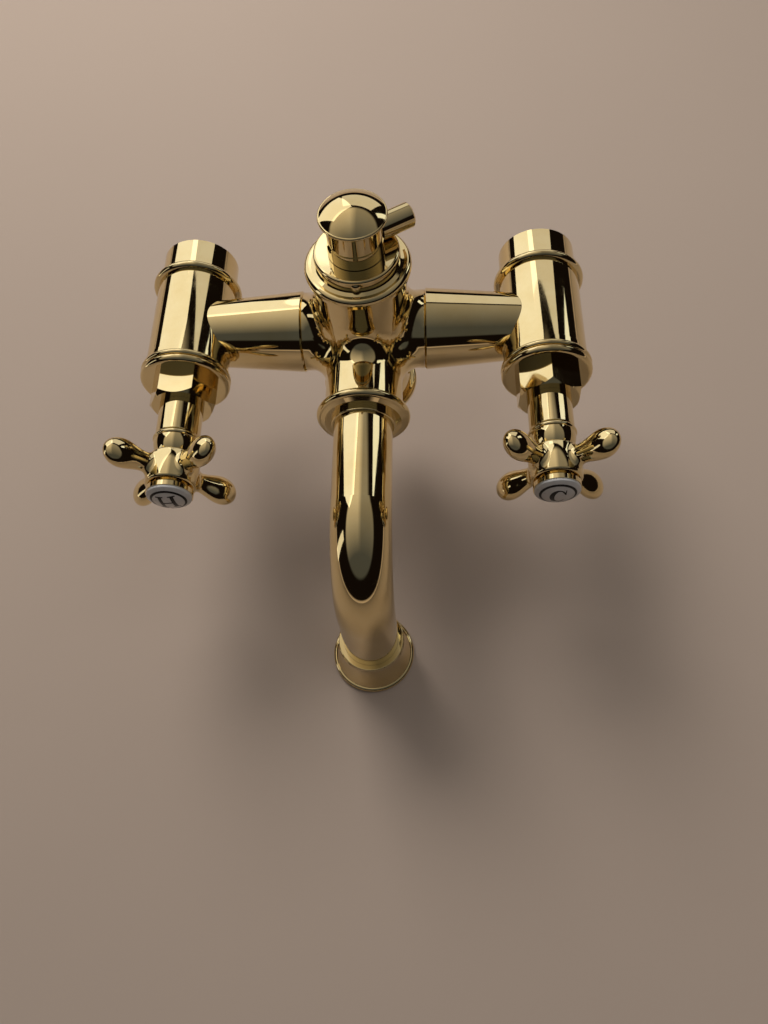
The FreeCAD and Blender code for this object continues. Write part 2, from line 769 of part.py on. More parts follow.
def make_spindle(name, side):
    """Spindle with a drive flange and tongue inside, and a square end for the handle."""
    groove_floor = mm.spindle_radius - mm.ring_groove_depth
    groove_back = mm.body_reach + mm.ring_groove_place
    groove_front = groove_back + mm.ring_groove_width
    round_front = square_back - mm.turning_gap
    shape = Outline()
    shape.to(0, drive_flange_back)
    shape.to(mm.drive_flange_radius, drive_flange_back)
    shape.to(mm.drive_flange_radius, drive_flange_back + mm.drive_flange_thickness)
    shape.to(mm.spindle_radius, drive_flange_back + mm.drive_flange_thickness)
    shape.to(mm.spindle_radius, groove_back)
    shape.to(groove_floor, groove_back)
    shape.to(groove_floor, groove_front)
    shape.to(mm.spindle_radius, groove_front)
    shape.to(mm.spindle_radius, round_front)
    shape.to(0, round_front)
    body = turned_piece(f"{name}_spindle", shape)
    tongue = sketch_on(body, f"{name}_tongue_outline", "XZ_Plane", -drive_flange_back)
    half_long = mm.disc_port_outer - mm.slip_gap
    half_short = mm.tongue_width / 2
    draw_rectangle(tongue, (-half_long, -half_short), (half_long, half_short))
    extrude(body, f"{name}_tongue", tongue, mm.tongue_depth)
    square = sketch_on(body, f"{name}_square_outline", "XZ_Plane", -round_front)
    draw_polygon(square, mm.square_across_flats, 4, SQUARE_TURN)
    extrude(body, f"{name}_square_end", square, square_front - round_front, backwards=True)
    hole = sketch_on(body, f"{name}_screw_hole_circle", "XZ_Plane", -square_front)
    draw_circle(hole, mm.screw_radius + mm.slip_gap)
    extrude(body, f"{name}_screw_hole", hole, mm.screw_hole_depth, backwards=True, cut=True)
    return body


def make_spindle_ring(name):
    """Sealing ring in the spindle's groove."""
    outer = mm.spindle_radius
    middle = mm.body_reach + mm.ring_groove_place + mm.ring_groove_width / 2
    centre = outer - mm.ring_wire
    shape = Outline()
    shape.to(centre, middle - mm.ring_wire)
    shape.arc_to((centre, middle), 1, centre, middle + mm.ring_wire)
    shape.close_with_arc((centre, middle), 1)
    return turned_piece(f"{name}_spindle_ring", shape)


def make_shroud(name, side):
    """Plain sleeve over the spindle, screwed on the headwork's neck."""
    bore = mm.neck_boss_radius + mm.slip_gap
    shape = Outline()
    front = shroud_back + mm.shroud_length
    shape.to(bore, shroud_back)
    shape.to(mm.shroud_radius, shroud_back)
    shape.round_corner(mm.shroud_radius, front, mm.shroud_edge)
    shape.to(bore, front)
    return place_side(turned_piece(f"{name}_shroud", shape), side)


def hub_outline():
    """Skirt ring, cupped skirt, waist, crowned hub and the bezel that seats the index disc."""
    ring_shoulder = mm.skirt_ring_radius - mm.skirt_ring_half
    ring_front = skirt_ring_front
    hub_edge_back = hub_back + mm.hub_edge
    hub_edge_front = hub_front - mm.hub_edge
    # Radius of the shallow arc along the hub.
    half = (hub_edge_front - hub_edge_back).value / 2
    barrel = (half ** 2 + mm.hub_crown.value ** 2) / (2 * mm.hub_crown.value)
    crown_centre = (mm.hub_radius + mm.hub_crown - barrel, (hub_edge_back + hub_edge_front) / 2)
    # The skirt leaves its ring upright and curves in to the waist.
    narrowing = (mm.skirt_radius - mm.waist_radius).value
    cup = (mm.skirt_length.value ** 2 + narrowing ** 2) / (2 * narrowing)
    shape = Outline()
    shape.to(0, skirt_back)
    shape.to(ring_shoulder, skirt_back)
    shape.arc_to((ring_shoulder, skirt_back + mm.skirt_ring_half), 1, ring_shoulder, ring_front)
    shape.to(mm.skirt_radius, ring_front)
    shape.arc_to((mm.skirt_radius - cup, ring_front), 1, mm.waist_radius, skirt_front)
    shape.to(mm.waist_radius, hub_back)
    shape.to(mm.hub_radius - mm.hub_edge, hub_back)
    shape.arc_to((mm.hub_radius - mm.hub_edge, hub_edge_back), 1, mm.hub_radius, hub_edge_back)
    shape.arc_to(crown_centre, 1, mm.hub_radius, hub_edge_front)
    shape.arc_to((mm.hub_radius - mm.hub_edge, hub_edge_front), 1,
                 mm.hub_radius - mm.hub_edge, hub_front)
    shape.to(mm.bezel_neck_radius, hub_front)
    shape.to(mm.bezel_neck_radius, bezel_neck_front)
    shape.to(mm.bezel_radius, bezel_neck_front + mm.bezel_slope)
    shape.to(mm.bezel_radius, bezel_front)
    shape.to(mm.well_radius, bezel_front)
    shape.to(mm.well_radius, well_floor)
    shape.to(0, well_floor)
    return shape


def make_handle(name):
    """Cross handle: a turned hub with four arms that swell from a narrow neck to a flat lobe."""
    body = turned_piece(f"{name}_handle", hub_outline())
    neck, lobe, end = mm.arm_neck_place, mm.lobe_place, mm.lobe_end
    swell = lobe - neck
    tip = end - lobe
    across = mm.lobe_across - mm.arm_neck_across
    along = mm.lobe_along - mm.arm_neck_along
    # Each section is its distance from the hub's axis and its two half widths.
    sections = [
        (mm.hub_radius * ARM_START, mm.arm_neck_along + mm.arm_root_spread,
         mm.arm_neck_across + mm.arm_root_spread),
        (neck, mm.arm_neck_along, mm.arm_neck_across),
    ]
    for way, deep, wide in ARM_SWELL:
        sections.append((neck + swell * way, mm.arm_neck_along + along * deep,
                         mm.arm_neck_across + across * wide))
    sections.append((lobe, mm.lobe_along, mm.lobe_across))
    for angle in ARM_TIP_ANGLES:
        share = math.sin(math.radians(angle))
        width = math.cos(math.radians(angle))
        sections.append((lobe + tip * share, mm.lobe_along * width, mm.lobe_across * width))
    rings = []
    for index, (distance, half_along, half_across) in enumerate(sections):
        ring = sketch_on(body, f"{name}_arm_section_{index}", "YZ_Plane", distance)
        rings.append(draw_section(ring, half_along, half_across))
    arm = body.newObject("PartDesign::AdditiveLoft", f"{name}_arm")
    arm.Profile = rings[0]
    arm.Sections = rings[1:]
    arm.Ruled = False
    doc.recompute()
    arms = body.newObject("PartDesign::PolarPattern", f"{name}_arms")
    arms.Originals = [arm]
    arms.Axis = (next(item for item in body.Origin.OriginFeatures if item.Role == "Y_Axis"), [""])
    arms.Angle = FULL_TURN
    arms.Occurrences = 4
    body.Tip = arms
    doc.recompute()
    roots = body.newObject("PartDesign::Fillet", f"{name}_arm_roots")
    roots.Base = (arms, arm_root_edges(arms.Shape))
    roots.setExpression("Radius", mm.arm_root_fillet.formula)
    body.Tip = roots
    doc.recompute()
    socket = sketch_on(body, f"{name}_socket_circle", "XZ_Plane", -skirt_back)
    draw_circle(socket, mm.spindle_radius + mm.slip_gap)
    extrude(body, f"{name}_socket", socket, square_back - skirt_back, cut=True)
    square = sketch_on(body, f"{name}_square_socket_outline", "XZ_Plane", -skirt_back)
    turn = SQUARE_TURN - SIZES["handle_rest_angle"]
    draw_polygon(square, mm.square_across_flats + mm.slip_gap * 2, 4, turn)
    depth = well_floor - skirt_back
    extrude(body, f"{name}_square_socket", square, depth + mm.slip_gap, cut=True)
    return body


def arm_root_edges(shape):
    """Edges where the four arms leave the hub."""
    names = []
    for index, edge in enumerate(shape.Edges, start=1):
        box = edge.BoundBox
        reach = max(math.hypot(vertex.X, vertex.Z) for vertex in edge.Vertexes)
        round_hub = edge.Curve.TypeId in ("Part::GeomCircle", "Part::GeomLine")
        if not round_hub and reach < (mm.hub_radius + mm.hub_crown * 2).value and box.YLength > 0:
            names.append(f"Edge{index}")
    return names


def draw_section(sketch, half_along, half_across):
    """Elliptical section of a handle arm, its long axis along the spindle."""
    point = (hub_back + mm.handle_arm_place, as_size(0))
    centre = Vector(point[0].value, 0, 0)
    tip = Vector(point[0].value + half_along.value, 0, 0)
    top = Vector(point[0].value, half_across.value, 0)
    ring = sketch.addGeometry(Part.Ellipse(tip, top, centre), False)
    sketch.exposeInternalGeometry(ring)
    pin_point(sketch, ring, 3, point)
    sketch.addConstraint(Sketcher.Constraint("Horizontal", ring + 1))
    for axis, half in ((ring + 1, half_along), (ring + 2, half_across)):
        index = sketch.addConstraint(Sketcher.Constraint("Distance", axis, 2 * half.value))
        sketch.setExpression(f"Constraints[{index}]", (half * 2).formula)
    return sketch


def make_index_disc(name):
    """Porcelain index button with a domed face that plugs into the hub's well."""
    crown = bezel_front + mm.index_thickness
    plug = mm.well_radius - mm.slip_gap
    # The rounded edge runs smoothly into the ball that the dome is cut from.
    edge_across = mm.index_radius - mm.index_edge
    inner_ball = mm.index_dome - mm.index_edge
    lean = math.asin(edge_across.value / inner_ball.value)
    ball_centre = crown - mm.index_dome
    edge_along = ball_centre + inner_ball * math.cos(lean)
    shape = Outline()
    shape.to(0, bezel_front)
    shape.to(mm.index_plug_bore, bezel_front)
    shape.to(mm.index_plug_bore, bezel_front - mm.index_plug_length)
    shape.to(plug, bezel_front - mm.index_plug_length)
    shape.to(plug, bezel_front)
    shape.to(mm.index_radius, bezel_front)
    shape.to(mm.index_radius, edge_along)
    shape.arc_to((edge_across, edge_along), 1, edge_across + mm.index_edge * math.sin(lean),
                 edge_along + mm.index_edge * math.cos(lean))
    shape.arc_to((0, ball_centre), 1, 0, crown)
    return turned_piece(f"{name}_index_disc", shape)


def make_handle_screw(name):
    """Pan-headed screw that clamps the hub to the spindle."""
    head_back = well_floor
    head_front = head_back + mm.screw_head_height
    shape = Outline()
    shape.to(0, square_front - mm.screw_length)
    shape.to(mm.screw_radius, square_front - mm.screw_length)
    shape.to(mm.screw_radius, head_back)
    shape.to(mm.screw_head_radius, head_back)
    shape.round_corner(mm.screw_head_radius, head_front, mm.screw_head_height * 0.5)
    shape.to(0, head_front)
    body = turned_piece(f"{name}_handle_screw", shape)
    slot = sketch_on(body, f"{name}_driver_slot_outline", "XZ_Plane", -head_front)
    half = mm.screw_slot_width / 2
    end = mm.screw_head_radius * CLEAR
    draw_rectangle(slot, (-end, -half), (end, half))
    extrude(body, f"{name}_driver_slot", slot, mm.screw_head_height, both_ways=True, cut=True)
    return body


def make_side_arm(name, side):
    """Tapered arm from the centre body to a side body, with a spigot at each end."""
    half_spacing = mm.inlet_spacing / 2
    inner, axis_place = mm.arm_inner_place, half_spacing
    body = new_body(f"{name}_arm")
    shape = Outline()
    shape.to(inner, 0)
    shape.to(axis_place, 0)
    shape.to(axis_place, mm.arm_axis_radius)
    shape.to(inner + mm.arm_edge, mm.arm_inner_radius)
    shape.to(inner, mm.arm_inner_radius - mm.arm_edge)
    revolve(body, f"{name}_arm_taper", shape, axis="H_Axis")
    saddle = sketch_on(body, f"{name}_saddle_circle", "XZ_Plane")
    draw_circle(saddle, mm.body_radius + mm.slip_gap, half_spacing)
    extrude(body, f"{name}_saddle", saddle, mm.arm_inner_radius * 4, both_ways=True, cut=True)
    spigot_end = half_spacing - port_depth
    spigot = sketch_on(body, f"{name}_outer_spigot_circle", "YZ_Plane", inner + mm.arm_edge)
    draw_circle(spigot, mm.arm_spigot_radius)
    extrude(body, f"{name}_outer_spigot", spigot, spigot_end - inner - mm.arm_edge)
    root = sketch_on(body, f"{name}_inner_spigot_circle", "YZ_Plane", inner + mm.arm_edge)
    draw_circle(root, mm.arm_spigot_radius)
    length = mm.arm_inner_engagement + mm.arm_edge
    extrude(body, f"{name}_inner_spigot", root, length, backwards=True)
    bore = sketch_on(body, f"{name}_arm_bore_circle", "YZ_Plane")
    draw_circle(bore, mm.arm_bore)
    extrude(body, f"{name}_arm_bore", bore, half_spacing, backwards=True, cut=True)
    return place_barrel(body, FACE_BATHER if side < 0 else None)


def crossing_edges(shape):
    """Edges where round bosses meet the round barrel: neither straight nor plain circles."""
    plain = ("Part::GeomLine", "Part::GeomCircle")
    names = []
    for index, edge in enumerate(shape.Edges, start=1):
        if edge.Curve.TypeId not in plain:
            names.append(f"Edge{index}")
    return names


def make_centre_body():
    """Cast centre body: upright barrel, two side bosses and the spout boss, then its bores."""
    body = new_body("centre_body")
    foot_middle = mm.barrel_bottom + mm.foot_half
    rim_back = mm.barrel_top - mm.top_rim_width
    shape = Outline()
    shape.to(0, mm.barrel_bottom)
    shape.to(mm.foot_radius - mm.foot_half, mm.barrel_bottom)
    shape.arc_to((mm.foot_radius - mm.foot_half, foot_middle), 1,
                 mm.foot_radius - mm.foot_half, foot_middle + mm.foot_half)
    shape.to(mm.barrel_radius, foot_middle + mm.foot_half)
    shape.to(mm.barrel_radius, rim_back)
    shape.to(mm.barrel_rim_radius, rim_back)
    shape.to(mm.barrel_rim_radius, mm.barrel_top)
    shape.to(0, mm.barrel_top)
    revolve(body, "barrel", shape, "XZ_Plane")
    side_bosses = sketch_on(body, "side_boss_circle", "YZ_Plane")
    draw_circle(side_bosses, mm.boss_radius)
    # The side bosses are cast long for their blends and faced off afterwards.
    span = (mm.arm_inner_place + mm.boss_overrun) * 2
    extrude(body, "side_bosses", side_bosses, span, both_ways=True)
    front_boss = sketch_on(body, "spout_boss_circle", "XZ_Plane")
    draw_circle(front_boss, mm.spout_boss_radius, 0, mm.spout_height)
    boss = extrude(body, "spout_boss", front_boss, mm.spout_boss_reach - mm.arm_reach)
    doc.recompute()
    blends = body.newObject("PartDesign::Fillet", "boss_blends")
    blends.Base = (boss, crossing_edges(boss.Shape))
    blends.setExpression("Radius", mm.boss_fillet.formula)
    body.Tip = blends
    doc.recompute()
    boss_face = mm.arm_inner_place - mm.slip_gap
    for name, direction in (("hot", -1), ("cold", 1)):
        facing = sketch_on(body, f"{name}_facing_circle", "YZ_Plane", boss_face * direction)
        draw_circle(facing, mm.barrel_top)
        extrude(body, f"{name}_facing", facing, mm.boss_overrun * 2, direction > 0, cut=True)
    # Bore for the diverter, its thread at the top, and the drain to the shower outlet.
    inner = Outline()
    inner.to(0, mm.barrel_bottom)
    inner.to(mm.nipple_socket_radius, mm.barrel_bottom)
    inner.to(mm.nipple_socket_radius, mm.barrel_bottom + mm.nipple_socket_depth)
    inner.to(mm.drain_bore, mm.barrel_bottom + mm.nipple_socket_depth)
    inner.to(mm.drain_bore, mm.chamber_floor)
    inner.to(mm.chamber_bore, mm.chamber_floor)
    inner.to(mm.chamber_bore, mm.barrel_top - mm.bonnet_thread_length)
    inner.to(mm.bonnet_thread_radius, mm.barrel_top - mm.bonnet_thread_length)
    inner.to(mm.bonnet_thread_radius, mm.barrel_top)
    inner.to(0, mm.barrel_top)
    revolve(body, "diverter_bore", inner, "XZ_Plane", cut=True)
    # Sockets for the two arms, with a shoulder before the chamber.
    socket_floor = mm.arm_inner_place - mm.arm_inner_engagement
    for name, direction in (("hot", -1), ("cold", 1)):
        socket = sketch_on(body, f"{name}_socket_circle", "YZ_Plane", socket_floor * direction)
        draw_circle(socket, mm.arm_spigot_radius + mm.slip_gap)
        extrude(body, f"{name}_socket", socket, mm.arm_inner_place, direction > 0, cut=True)
    ports = sketch_on(body, "inlet_port_circle", "YZ_Plane")
    draw_circle(ports, mm.arm_bore)
    extrude(body, "inlet_ports", ports, mm.arm_inner_place * 2, both_ways=True, cut=True)
    # Stepped bore in the spout boss: port, tube socket and the collar's socket.
    steps = (
        ("spout_port", mm.spout_port_radius, mm.arm_reach),
        ("tube_socket", mm.tube_radius + mm.slip_gap, mm.spout_boss_reach - mm.spout_socket_depth),
        ("collar_socket", mm.collar_socket_radius, mm.spout_boss_reach - mm.collar_socket_depth),
    )
    for name, radius, start in steps:
        ring = sketch_on(body, f"{name}_circle", "XZ_Plane", start - mm.arm_reach)
        draw_circle(ring, radius, 0, mm.spout_height)
        extrude(body, name, ring, mm.spout_boss_reach, backwards=True, cut=True)
    return place_barrel(body)


def make_shower_outlet():
    """Threaded nipple under the barrel that a shower hose screws on."""
    socket_top = mm.barrel_bottom + mm.nipple_socket_depth - mm.slip_gap
    flange_top = mm.barrel_bottom - mm.slip_gap
    flange_low = flange_top - mm.nipple_flange_thickness
    end = flange_low - mm.nipple_length
    shape = Outline()
    shape.to(mm.drain_bore, end)
    shape.to(mm.nipple_radius - mm.nipple_chamfer, end)
    shape.to(mm.nipple_radius, end + mm.nipple_chamfer)
    shape.to(mm.nipple_radius, flange_low)
    shape.to(mm.nipple_flange_radius - mm.nipple_chamfer, flange_low)
    shape.to(mm.nipple_flange_radius, flange_low + mm.nipple_chamfer)
    shape.to(mm.nipple_flange_radius, flange_top)
    shape.to(mm.nipple_socket_radius - mm.slip_gap, flange_top)
    shape.to(mm.nipple_socket_radius - mm.slip_gap, socket_top)
    shape.to(mm.drain_bore, socket_top)
    return place_barrel(turned_piece("shower_outlet", shape, "XZ_Plane"))


def make_diverter_bonnet():
    """Flanged plug that closes the barrel's top and guides the diverter shaft."""
    bore = mm.shaft_radius + mm.running_gap
    thread = mm.bonnet_thread_radius - mm.slip_gap
    shape = Outline()
    shape.to(bore, plug_low)
    shape.to(mm.chamber_bore - mm.slip_gap, plug_low)
    shape.to(mm.chamber_bore - mm.slip_gap, bonnet_thread_low + mm.slip_gap)
    shape.to(thread, bonnet_thread_low + mm.slip_gap)
    shape.to(thread, bonnet_low)
    shape.round_start(mm.bonnet_radius, bonnet_low, mm.bonnet_edge)
    shape.round_corner(mm.bonnet_radius, bonnet_high, mm.bonnet_slope)
    shape.to(mm.bonnet_shoulder_radius, bonnet_high)
    shape.to(mm.plate_radius, bonnet_seat)
    shape.to(bore, bonnet_seat)
    return place_barrel(turned_piece("diverter_bonnet", shape, "XZ_Plane"))


def make_diverter_plate():
    """Stepped cover plate on the bonnet, drilled on the bather's side for its lock screw."""
    shape = Outline()
    shape.to(mm.shaft_radius + mm.turning_gap, plate_low)
    shape.to(mm.plate_radius, plate_low)
    shape.round_corner(mm.plate_radius, plate_high, mm.plate_edge)
    shape.to(mm.shaft_radius + mm.turning_gap, plate_high)
    body = turned_piece("diverter_plate", shape, "XZ_Plane")
    depth = mm.plate_screw_length + mm.slip_gap
    hole = sketch_on(body, "plate_screw_circle", "XZ_Plane", mm.plate_radius - depth)
    draw_circle(hole, mm.plate_screw_radius + mm.slip_gap, 0, plate_screw_height)
    extrude(body, "plate_screw_hole", hole, depth * 2, backwards=True, cut=True)
    return place_barrel(body)


def make_plate_screw():
    """Small dome-headed screw in the side of the cover plate."""
    seat = mm.plate_radius + mm.slip_gap
    dome = mm.plate_screw_dome
    head = mm.plate_screw_head_radius
    # Radius of the ball whose cap is the domed head.
    ball = (head.value ** 2 + dome.value ** 2) / (2 * dome.value)
    shape = Outline()
    shape.to(0, seat - mm.plate_screw_length)
    shape.to(mm.plate_screw_radius, seat - mm.plate_screw_length)
    shape.to(mm.plate_screw_radius, seat)
    shape.to(head, seat)
    shape.arc_to((0, seat + dome - ball), 1, 0, seat + dome)
    body = turned_piece("diverter_plate_screw", shape)
    return place(body, forward=-mm.arm_reach, up=plate_screw_height, turn=FACE_BATHER)


def make_diverter_sleeve():
    """Fixed sleeve of the diverter, slotted at both sides so that water climbs to its windows."""
    outer = mm.chamber_bore - mm.slip_gap
    floor = mm.chamber_floor + mm.sleeve_floor_thickness
    shape = Outline()
    shape.to(0, mm.chamber_floor + mm.slip_gap)
    shape.to(outer, mm.chamber_floor + mm.slip_gap)
    shape.to(outer, sleeve_high)
    shape.to(mm.sleeve_bore, sleeve_high)
    shape.to(mm.sleeve_bore, floor)
    shape.to(0, floor)
    body = turned_piece("diverter_sleeve", shape, "XZ_Plane")
    half = mm.sleeve_slot_width / 2
    slot_floor = mm.chamber_bore - mm.sleeve_slot_depth
    for name, direction in (("hot", -1), ("cold", 1)):
        slot = sketch_on(body, f"{name}_slot_outline", "YZ_Plane", slot_floor * direction)
        draw_rectangle(slot, (-half, -mm.arm_bore), (half, window_high))
        extrude(body, f"{name}_slot", slot, mm.chamber_bore, direction > 0, cut=True)
    windows = sketch_on(body, "window_outline", "YZ_Plane")
    draw_rectangle(windows, (-half, window_low), (half, window_high))
    extrude(body, "windows", windows, mm.chamber_bore * CLEAR_THROUGH, both_ways=True, cut=True)
    outlet = sketch_on(body, "sleeve_spout_circle", "XZ_Plane")
    draw_circle(outlet, mm.spout_port_radius, 0, mm.spout_height)
    extrude(body, "sleeve_spout_port", outlet, mm.chamber_bore * CLEAR, backwards=True, cut=True)
    drain = sketch_on(body, "sleeve_drain_outline", "XY_Plane", floor)
    draw_kidney(drain, mm.drain_port_inner, mm.drain_port_outer, 0, DRAIN_PORT_HALF_ANGLE)
    extrude(body, "sleeve_drain_port", drain, mm.sleeve_floor_thickness * CLEAR, cut=True)
    return place_barrel(body)


def make_sleeve_seal():
    """Flat ring between the sleeve and the bonnet."""
    low = sleeve_high + mm.slip_gap
    shape = tube_outline(mm.sleeve_bore + mm.turning_gap, mm.chamber_bore - mm.slip_gap,
                         low, low + mm.seal_ring_height)
    return place_barrel(turned_piece("diverter_seal", shape, "XZ_Plane"))


def make_diverter_rotor():
    """Hollow plug that turns in the sleeve, with its shaft standing up through the bonnet."""
    outer = mm.sleeve_bore - mm.running_gap
    inner = outer - mm.rotor_wall
    low = mm.chamber_floor + mm.sleeve_floor_thickness + mm.running_gap
    floor = low + mm.rotor_floor_thickness
    high = sleeve_high - mm.rotor_top_gap
    head = high - mm.rotor_head_thickness
    shape = Outline()
    shape.to(0, low)
    shape.to(outer, low)
    shape.to(outer, high)
    shape.to(mm.shaft_radius, high)
    shape.to(mm.shaft_radius, stem_low)
    shape.to(0, stem_low)
    shape.to(0, head)
    shape.to(inner, head)
    shape.to(inner, floor)
    shape.to(0, floor)
    body = turned_piece("diverter_rotor", shape, "XZ_Plane")
    square = sketch_on(body, "shaft_square_outline", "XY_Plane", stem_low)
    draw_polygon(square, mm.shaft_square, 4, SQUARE_TURN + SIZES["lever_angle"])
    extrude(body, "shaft_square_end", square, shaft_high - stem_low)
    half = mm.sleeve_slot_width / 2
    for name, role in (("side", "YZ_Plane"), ("front", "XZ_Plane")):
        windows = sketch_on(body, f"rotor_{name}_window_outline", role)
        draw_rectangle(windows, (-half, window_low), (half, window_high))
        extrude(body, f"rotor_{name}_windows", windows, outer * CLEAR_THROUGH, both_ways=True, cut=True)
    outlet = sketch_on(body, "rotor_spout_circle", "XZ_Plane")
    draw_circle(outlet, mm.spout_port_radius, 0, mm.spout_height)
    extrude(body, "rotor_spout_port", outlet, mm.chamber_bore, backwards=True, cut=True)
    drain = sketch_on(body, "rotor_drain_outline", "XY_Plane", floor)
    draw_kidney(drain, mm.drain_port_inner, mm.drain_port_outer, QUARTER_TURN,
                DRAIN_PORT_HALF_ANGLE)
    extrude(body, "rotor_drain_port", drain, mm.rotor_floor_thickness * CLEAR, cut=True)
    return place_barrel(body)


def make_diverter_stem():
    """Knob stem with a wider band at its foot, squared for the shaft and drilled for the lever."""
    band_high = stem_low + mm.stem_band_length
    socket_floor = stem_high - mm.stem_socket_depth
    shape = Outline()
    shape.to(0, stem_low)
    shape.to(mm.stem_band_radius, stem_low)
    shape.to(mm.stem_band_radius, band_high)
    shape.to(mm.stem_radius, band_high)
    shape.to(mm.stem_radius, stem_high)
    shape.to(mm.stem_socket_radius + mm.slip_gap, stem_high)
    shape.to(mm.stem_socket_radius + mm.slip_gap, socket_floor)
    shape.to(0, socket_floor)
    body = turned_piece("diverter_stem", shape, "XZ_Plane")
    square = sketch_on(body, "stem_square_outline", "XY_Plane", stem_low)
    draw_polygon(square, mm.shaft_square + mm.slip_gap * 2, 4, SQUARE_TURN)
    depth = shaft_high + mm.slip_gap - stem_low
    extrude(body, "stem_square_socket", square, depth, backwards=True, cut=True)
    lever = sketch_on(body, "lever_hole_circle", "YZ_Plane", mm.lever_spigot_start - mm.slip_gap)
    draw_circle(lever, mm.lever_spigot_radius + mm.slip_gap, 0, lever_height)
    extrude(body, "lever_hole", lever, mm.stem_radius, backwards=True, cut=True)
    seat = sketch_on(body, "lever_seat_circle", "YZ_Plane", mm.stem_radius - mm.lever_seat_depth)
    draw_circle(seat, mm.lever_radius + mm.slip_gap, 0, lever_height)
    extrude(body, "lever_seat", seat, mm.stem_radius, backwards=True, cut=True)
    grub = sketch_on(body, "grub_hole_circle", "YZ_Plane", -mm.shaft_square / 2)
    draw_circle(grub, mm.grub_radius + mm.slip_gap, 0, lever_height)
    extrude(body, "grub_hole", grub, mm.stem_radius, cut=True)
    turn = Rotation(Vector(0, 0, 1), SIZES["lever_angle"])
    return place_barrel(body, turn)


def make_diverter_cap():
    """Lens-shaped knob cap that plugs into the stem's top."""
    shoulder = mm.cap_radius - mm.cap_rim_half
    rim_middle = stem_high + mm.cap_rim_rise
    rim_low = rim_middle - mm.cap_rim_half
    rim_high = rim_middle + mm.cap_rim_half
    under = stem_high + mm.slip_gap
    rise = mm.cap_crown.value
    # Radius of the ball whose cap is the crown.
    ball = (shoulder.value ** 2 + rise ** 2) / (2 * rise)
    plug = mm.stem_socket_radius
    shape = Outline()
    shape.to(0, under - mm.stem_socket_depth + mm.slip_gap)
    shape.to(plug, under - mm.stem_socket_depth + mm.slip_gap)
    shape.to(plug, under)
    shape.to(mm.stem_radius, under)
    shape.to(shoulder, rim_low)
    shape.arc_to((shoulder, rim_middle), 1, shoulder, rim_high)
    shape.arc_to((0, rim_high + mm.cap_crown - ball), 1, 0, rim_high + mm.cap_crown)
    return place_barrel(turned_piece("diverter_cap", shape, "XZ_Plane"))


def make_diverter_lever():
    """Round lever pin that turns the knob."""
    seat = mm.stem_radius - mm.lever_seat_depth + mm.slip_gap
    shape = Outline()
    shape.to(mm.lever_spigot_start, 0)
    shape.to(mm.lever_end, 0)
    shape.to(mm.lever_end, mm.lever_radius - mm.lever_edge)
    shape.to(mm.lever_end - mm.lever_edge, mm.lever_radius)
    shape.to(seat, mm.lever_radius)
    shape.to(seat, mm.lever_spigot_radius)
    shape.to(mm.lever_spigot_start, mm.lever_spigot_radius)
    body = new_body("diverter_lever")
    revolve(body, "lever_turning", shape, axis="H_Axis")
    turn = Rotation(Vector(0, 0, 1), SIZES["lever_angle"])
    return place(body, forward=-mm.arm_reach, up=lever_height, turn=turn)


def make_grub_screw():
    """Grub screw at the back of the stem that locks it on the shaft's square."""
    tip = mm.shaft_square / 2 + mm.slip_gap * 2
    body = new_body("diverter_grub_screw")
    shape = Outline()
    shape.to(tip, 0)
    shape.to(tip + mm.grub_length, 0)
    shape.to(tip + mm.grub_length, mm.grub_radius)
    shape.to(tip + mm.grub_radius * 0.5, mm.grub_radius)
    shape.to(tip, mm.grub_radius * 0.5)
    revolve(body, "grub_turning", shape, axis="H_Axis")
    turn = Rotation(Vector(0, 0, 1), SIZES["lever_angle"] + HALF_TURN)
    return place(body, forward=-mm.arm_reach, up=lever_height, turn=turn)


def place_spout(body):
    return place(body, up=mm.spout_height, turn=FACE_BATHER)


def make_spout_tube():
    """Swept tube: level run from the boss, one quarter bend and a drop into the outlet."""
    root = tube_root
    bend_start = mm.outlet_reach - mm.bend_radius
    end = outlet_seat + mm.slip_gap - mm.spout_height
    body = new_body("spout_tube")
    path = sketch_on(body, "spout_path", "YZ_Plane")
    run_start = Vector(root.value, 0, 0)
    run_end = Vector(bend_start.value, 0, 0)
    drop_start = Vector(mm.outlet_reach.value, -mm.bend_radius.value, 0)
    drop_end = Vector(mm.outlet_reach.value, end.value, 0)
    centre = Vector(bend_start.value, -mm.bend_radius.value, 0)
    run = path.addGeometry(Part.LineSegment(run_start, run_end), False)
    circle = Part.Circle(centre, Vector(0, 0, 1), mm.bend_radius.value)
    bend = path.addGeometry(Part.ArcOfCircle(circle, 0, math.pi / 2), False)
    drop = path.addGeometry(Part.LineSegment(drop_start, drop_end), False)
    path.addConstraint(Sketcher.Constraint("Coincident", run, 2, bend, 2))
    path.addConstraint(Sketcher.Constraint("Coincident", bend, 1, drop, 1))
    pin_point(path, run, 1, (root, as_size(0)))
    pin_point(path, bend, 2, (bend_start, as_size(0)))
    pin_point(path, bend, 3, (bend_start, -mm.bend_radius))
    path.addConstraint(Sketcher.Constraint("Vertical", drop))
    for side, corner, height in ((bend, 1, -mm.bend_radius), (drop, 2, end)):
        pin = Sketcher.Constraint("DistanceY", -1, 1, side, corner, height.value)
        index = path.addConstraint(pin)
        path.setExpression(f"Constraints[{index}]", height.formula)
    ring = sketch_on(body, "spout_section", "XZ_Plane", -root)
    draw_circle(ring, mm.tube_radius)
    draw_circle(ring, mm.tube_radius - mm.tube_wall)
    sweep = body.newObject("PartDesign::AdditivePipe", "spout_sweep")
    sweep.Profile = ring
    sweep.Spine = (path, ["Edge1", "Edge2", "Edge3"])
    sweep.Mode = "Standard"
    return place_spout(body)


